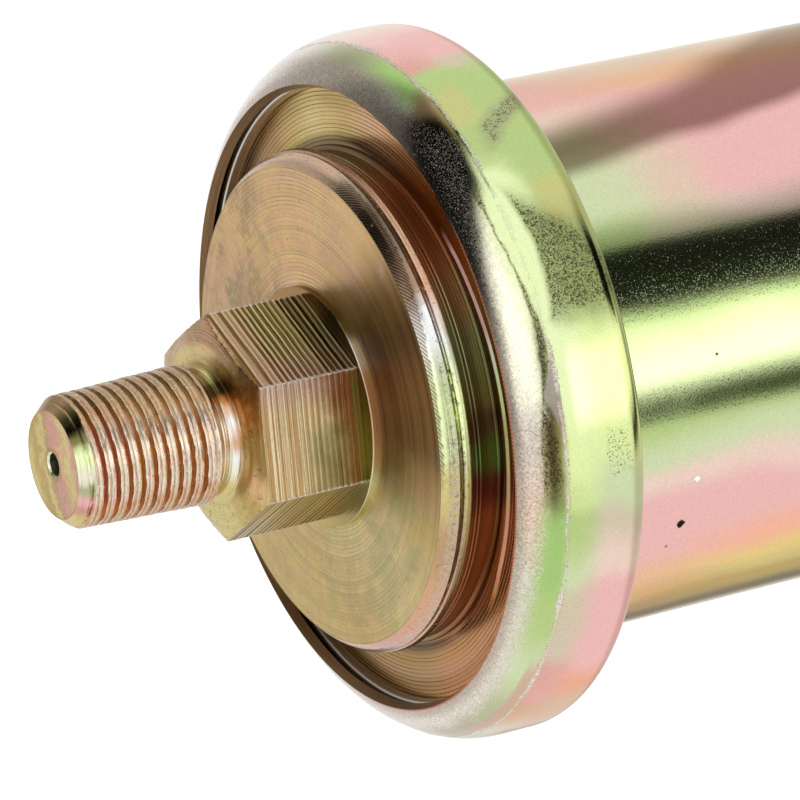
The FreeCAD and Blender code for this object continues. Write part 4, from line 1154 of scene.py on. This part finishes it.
def can_profile():
    """Section of the drawn and rolled sheet, from the lip's edge outside to the end and back inside."""
    p = Profile(flange_back, curl_radius)
    p.arc("lip_cut", flange_back, curl_radius, RIM_CURL, -LIP_ANGLE, -LIP_ANGLE, 1)
    p.arc("rim", flange_back, curl_radius, RIM_CURL, -LIP_ANGLE, 0, 72)
    p.line("rim", rim_back - RIM_CORNER, rim_radius, 8)
    p.arc("rim", rim_back - RIM_CORNER, rim_radius - RIM_CORNER, RIM_CORNER, 0, 90, 12)
    p.line("rim", rim_back, can_radius + CAN_FILLET, 8)
    p.arc("wall", rim_back + CAN_FILLET, can_radius + CAN_FILLET, CAN_FILLET, -90, -180, 8)
    p.line("wall", can_end - CAN_CORNER, can_radius, 60)
    p.arc("wall", can_end - CAN_CORNER, can_radius - CAN_CORNER, CAN_CORNER, 0, 90, 12)
    p.line("wall", can_end, TERMINAL_HOLE_RADIUS, 12)
    p.line("inside", can_end - SHEET, TERMINAL_HOLE_RADIUS)
    p.line("inside", can_end - SHEET, can_radius - CAN_CORNER, 6)
    p.arc("inside", can_end - CAN_CORNER, can_radius - CAN_CORNER, CAN_CORNER - SHEET, 90, 0, 8)
    p.line("inside", rim_back + CAN_FILLET, can_radius - SHEET, 20)
    p.arc("inside", rim_back + CAN_FILLET, can_radius + CAN_FILLET, CAN_FILLET + SHEET, -180, -90, 8)
    p.line("inside", rim_back - SHEET, rim_radius - RIM_CORNER, 4)
    p.arc("inside", rim_back - RIM_CORNER, rim_radius - RIM_CORNER, RIM_CORNER - SHEET, 90, 0, 6)
    p.line("inside", flange_back, rim_radius - SHEET, 4)
    p.arc("inside", flange_back, curl_radius, RIM_CURL - SHEET, 0, -LIP_ANGLE, 20)
    return p


def build_can():
    """The can as one closed sheet, with the die's line and a slight waver."""
    x, r, angle, zones = can_profile().grid(columns=360)
    outside = np.isin(zones, ("rim", "wall"))[:, None]
    waver = streaks(x, angle, 6.0, 0.5, 7) * CAN_WAVER + streaks(x, angle, 2.2, 0.16, 8) * CAN_RIPPLE
    wander = streaks(x, angle, 50.0, 0.3, 9) * DIE_LINE_WANDER
    ridge = np.exp(-((x - DIE_LINE - wander) / DIE_LINE_WIDTH) ** 2)
    ridge *= smoothstep(-0.3, 0.3, streaks(x, angle, 50.0, 0.08, 10)) * DIE_LINE_HEIGHT
    rolled = (x < flange_back + 0.001) & outside
    r += np.where(outside, waver * smoothstep(flange_back - WAVER_START, flange_back - WAVER_FULL, x), 0)
    r += np.where(rolled, ridge, 0)
    finishes = {"rim": rim_plating(), "wall": can_plating(), "lip_cut": lip_cut(), "inside": can_inside()}
    return turned_mesh("can_shell", x, r, angle, zones, finishes, "housing",
                       ["housing_can"])


def build_ring():
    """The bright ring, with its front edge rounded."""
    inner, outer = ring_high.z - RING_WIDTH, ring_high.z
    front, back = ring_low.x, ring_high.x
    p = Profile(back, inner)
    p.line("ring", front + RING_ROUNDING, inner, 2)
    p.arc("ring", front + RING_ROUNDING, inner + RING_ROUNDING, RING_ROUNDING, -180, -90, 6)
    p.line("ring", front, outer - RING_ROUNDING, 2)
    p.arc("ring", front + RING_ROUNDING, outer - RING_ROUNDING, RING_ROUNDING, -90, 0, 6)
    p.line("ring", back, outer, 2).line("ring", back, inner, 2)
    x, r, angle, zones = p.grid(columns=240)
    return turned_mesh("bright_ring", x, r, angle, zones, {"ring": bright_ring()}, "housing",
                       ["backing_ring"])


def build_terminal_screw(finish):
    """The terminal's screw with its thread, from its head inside the can to its free end."""
    head, end = screw_low.x, screw_high.x
    first = end - TERMINAL_THREADED
    p = Profile(head, screw_high.z)
    p.line("head", head, screw_high.z).line("head", head + TERMINAL_HEAD, screw_high.z)
    p.line("head", head + TERMINAL_HEAD, TERMINAL_RADIUS).line("head", first, TERMINAL_RADIUS)
    p.line("shank", end - TERMINAL_CHAMFER, TERMINAL_RADIUS, 210)
    p.line("shank", end, TERMINAL_RADIUS - TERMINAL_CHAMFER, 7)
    x, r, angle, zones = p.grid(columns=60)
    rows = np.array(zones) == "shank"
    cut, _ = thread_radius(x[rows], angle[rows], first, TERMINAL_PITCH, TERMINAL_RADIUS, TERMINAL_DEPTH)
    fading = smoothstep(first, first + TERMINAL_PITCH, x[rows])
    r[rows] = np.minimum(r[rows], TERMINAL_RADIUS - (TERMINAL_RADIUS - cut) * fading)
    return turned_mesh("screw_with_thread", x, r, angle, zones, {"head": finish, "shank": finish},
                       "housing", ["terminal_screw"], capped=True)


def dress_nodes(finishes, shown_instead):
    """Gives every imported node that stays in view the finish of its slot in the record."""
    for part in frame["record"]["subparts"]:
        if part["node"] in shown_instead:
            continue
        materials = frame["nodes"][part["node"]].data.materials
        materials.clear()
        materials.append(finishes[part["material_slot"]])


def sky_patch(sky, ray, azimuth, elevation, half_width, half_height, soft_wide, soft_high, tilt):
    """1 inside a soft-edged patch of sky and 0 outside. Azimuth is from +Y towards +X."""
    az, el, turn = (math.radians(v) for v in (azimuth, elevation, tilt))
    middle = Vector((math.sin(az) * math.cos(el), math.cos(az) * math.cos(el), math.sin(el)))
    level = Vector((math.cos(az), -math.sin(az), 0))
    upward = level.cross(middle)

    def towards(axis):
        return sky.node("ShaderNodeVectorMath", {0: ray, 1: axis}, "Value", operation="DOT_PRODUCT")

    def inside(angle, half, soft):
        return abs(angle).step(math.radians(half + soft), math.radians(half - soft))

    wide = towards(level * math.cos(turn) + upward * math.sin(turn))
    high = towards(upward * math.cos(turn) - level * math.sin(turn))
    across = inside(sky.math("ARCTAN2", wide, towards(middle)), half_width, soft_wide)
    return across * inside(sky.math("ARCSINE", high), half_height, soft_high)


# Dark flags and bright boxes of the studio, as seen from the part, in degrees: azimuth, elevation, half
# width, half height, the softness of each, tilt, and then what the light there is multiplied by
STUDIO = (
    (135, 38.5, 17, 11.5, 5, 2, 34, 0.015),
    (131, 50, 19, 8, 5, 7, 34, 0.45),
    (128, -5, 23, 4.5, 3, 3.5, 0, 0.03),
    (-70, 35, 16, 32, 4, 6, 0, 0.03),
    (-46, 33, 18, 30, 8, 8, 0, 0.42),
    (-28, 14, 28, 20, 14, 12, 0, 0.6),
    (-88, -6, 8, 8, 6, 6, 0, 0.5),
    (-143, 5, 6, 26, 4, 8, 0, 0.35),
    (106, 4, 14, 14, 8, 8, 0, 0.55),
    (150, 15.5, 30, 10.5, 6, 3.5, 0, 1.6),
    (-115, 20, 14, 14, 8, 8, 0, 1.3),
    (45, -42, 9, 5, 4, 4, 0, 0.5),
)


def studio():
    """White room with a few dark flags, so that the metal shows bright and dark bands."""
    world = bpy.data.worlds.new("studio")
    bpy.context.scene.world = world
    world.use_nodes = True
    background = world.node_tree.nodes["Background"]
    background.inputs["Color"].default_value = WHITE
    sky = Nodes(world.node_tree)
    ray = sky.node("ShaderNodeTexCoord", output="Generated")
    level = 1
    for *patch, factor in STUDIO:
        level = (sky_patch(sky, ray, *patch) * (factor - 1) + 1) * level
    seen = sky.node("ShaderNodeLightPath", output="Is Camera Ray")
    sky.put(background.inputs["Strength"], sky.math("MAXIMUM", level, seen))


def floor():
    """Plain white floor well below the part. The plating mirrors the white room and not the floor."""
    s = Shader("floor")
    s.colour = s.mix(s.noise(0.02, seed=60), srgb(250, 250, 250), WHITE)
    s.finish(0.9, metallic=0)
    s.surface.inputs["Emission Color"].default_value = WHITE
    s.surface.inputs["Emission Strength"].default_value = FLOOR_GLOW
    mesh = bpy.data.meshes.new("floor")
    half = FLOOR_SIZE / 2
    height = -rim_radius * MM - FLOOR_DROP
    corners = [(sx * half, sy * half, height) for sx, sy in ((-1, -1), (1, -1), (1, 1), (-1, 1))]
    mesh.from_pydata(corners, [], [(0, 1, 2, 3)])
    mesh.materials.append(s.material)
    ground = bpy.data.objects.new("floor", mesh)
    bpy.context.scene.collection.objects.link(ground)
    ground.visible_glossy = False


def camera():
    """The photo's view, through a long lens."""
    data = bpy.data.cameras.new("camera")
    data.lens = CAMERA_LENS
    data.sensor_width = CAMERA_SENSOR
    data.clip_start = 0.01
    eye = bpy.data.objects.new("camera", data)
    bpy.context.scene.collection.objects.link(eye)
    forward, up = Vector(CAMERA_FORWARD).normalized(), Vector(CAMERA_UP).normalized()
    right = forward.cross(up).normalized()
    turn = Matrix((right, right.cross(forward), -forward)).transposed()
    eye.matrix_world = Matrix.Translation(CAMERA_PLACE) @ turn.to_4x4()
    bpy.context.scene.camera = eye


studio()
floor()
camera()
build_fitting()
build_can()
build_ring()
slot_finishes = slot_materials()
build_terminal_screw(slot_finishes["terminal_zinc"])
dress_nodes(slot_finishes, {"base_fitting", "housing_can", "backing_ring", "terminal_screw"})
bpy.context.scene.view_settings.view_transform = "Standard"
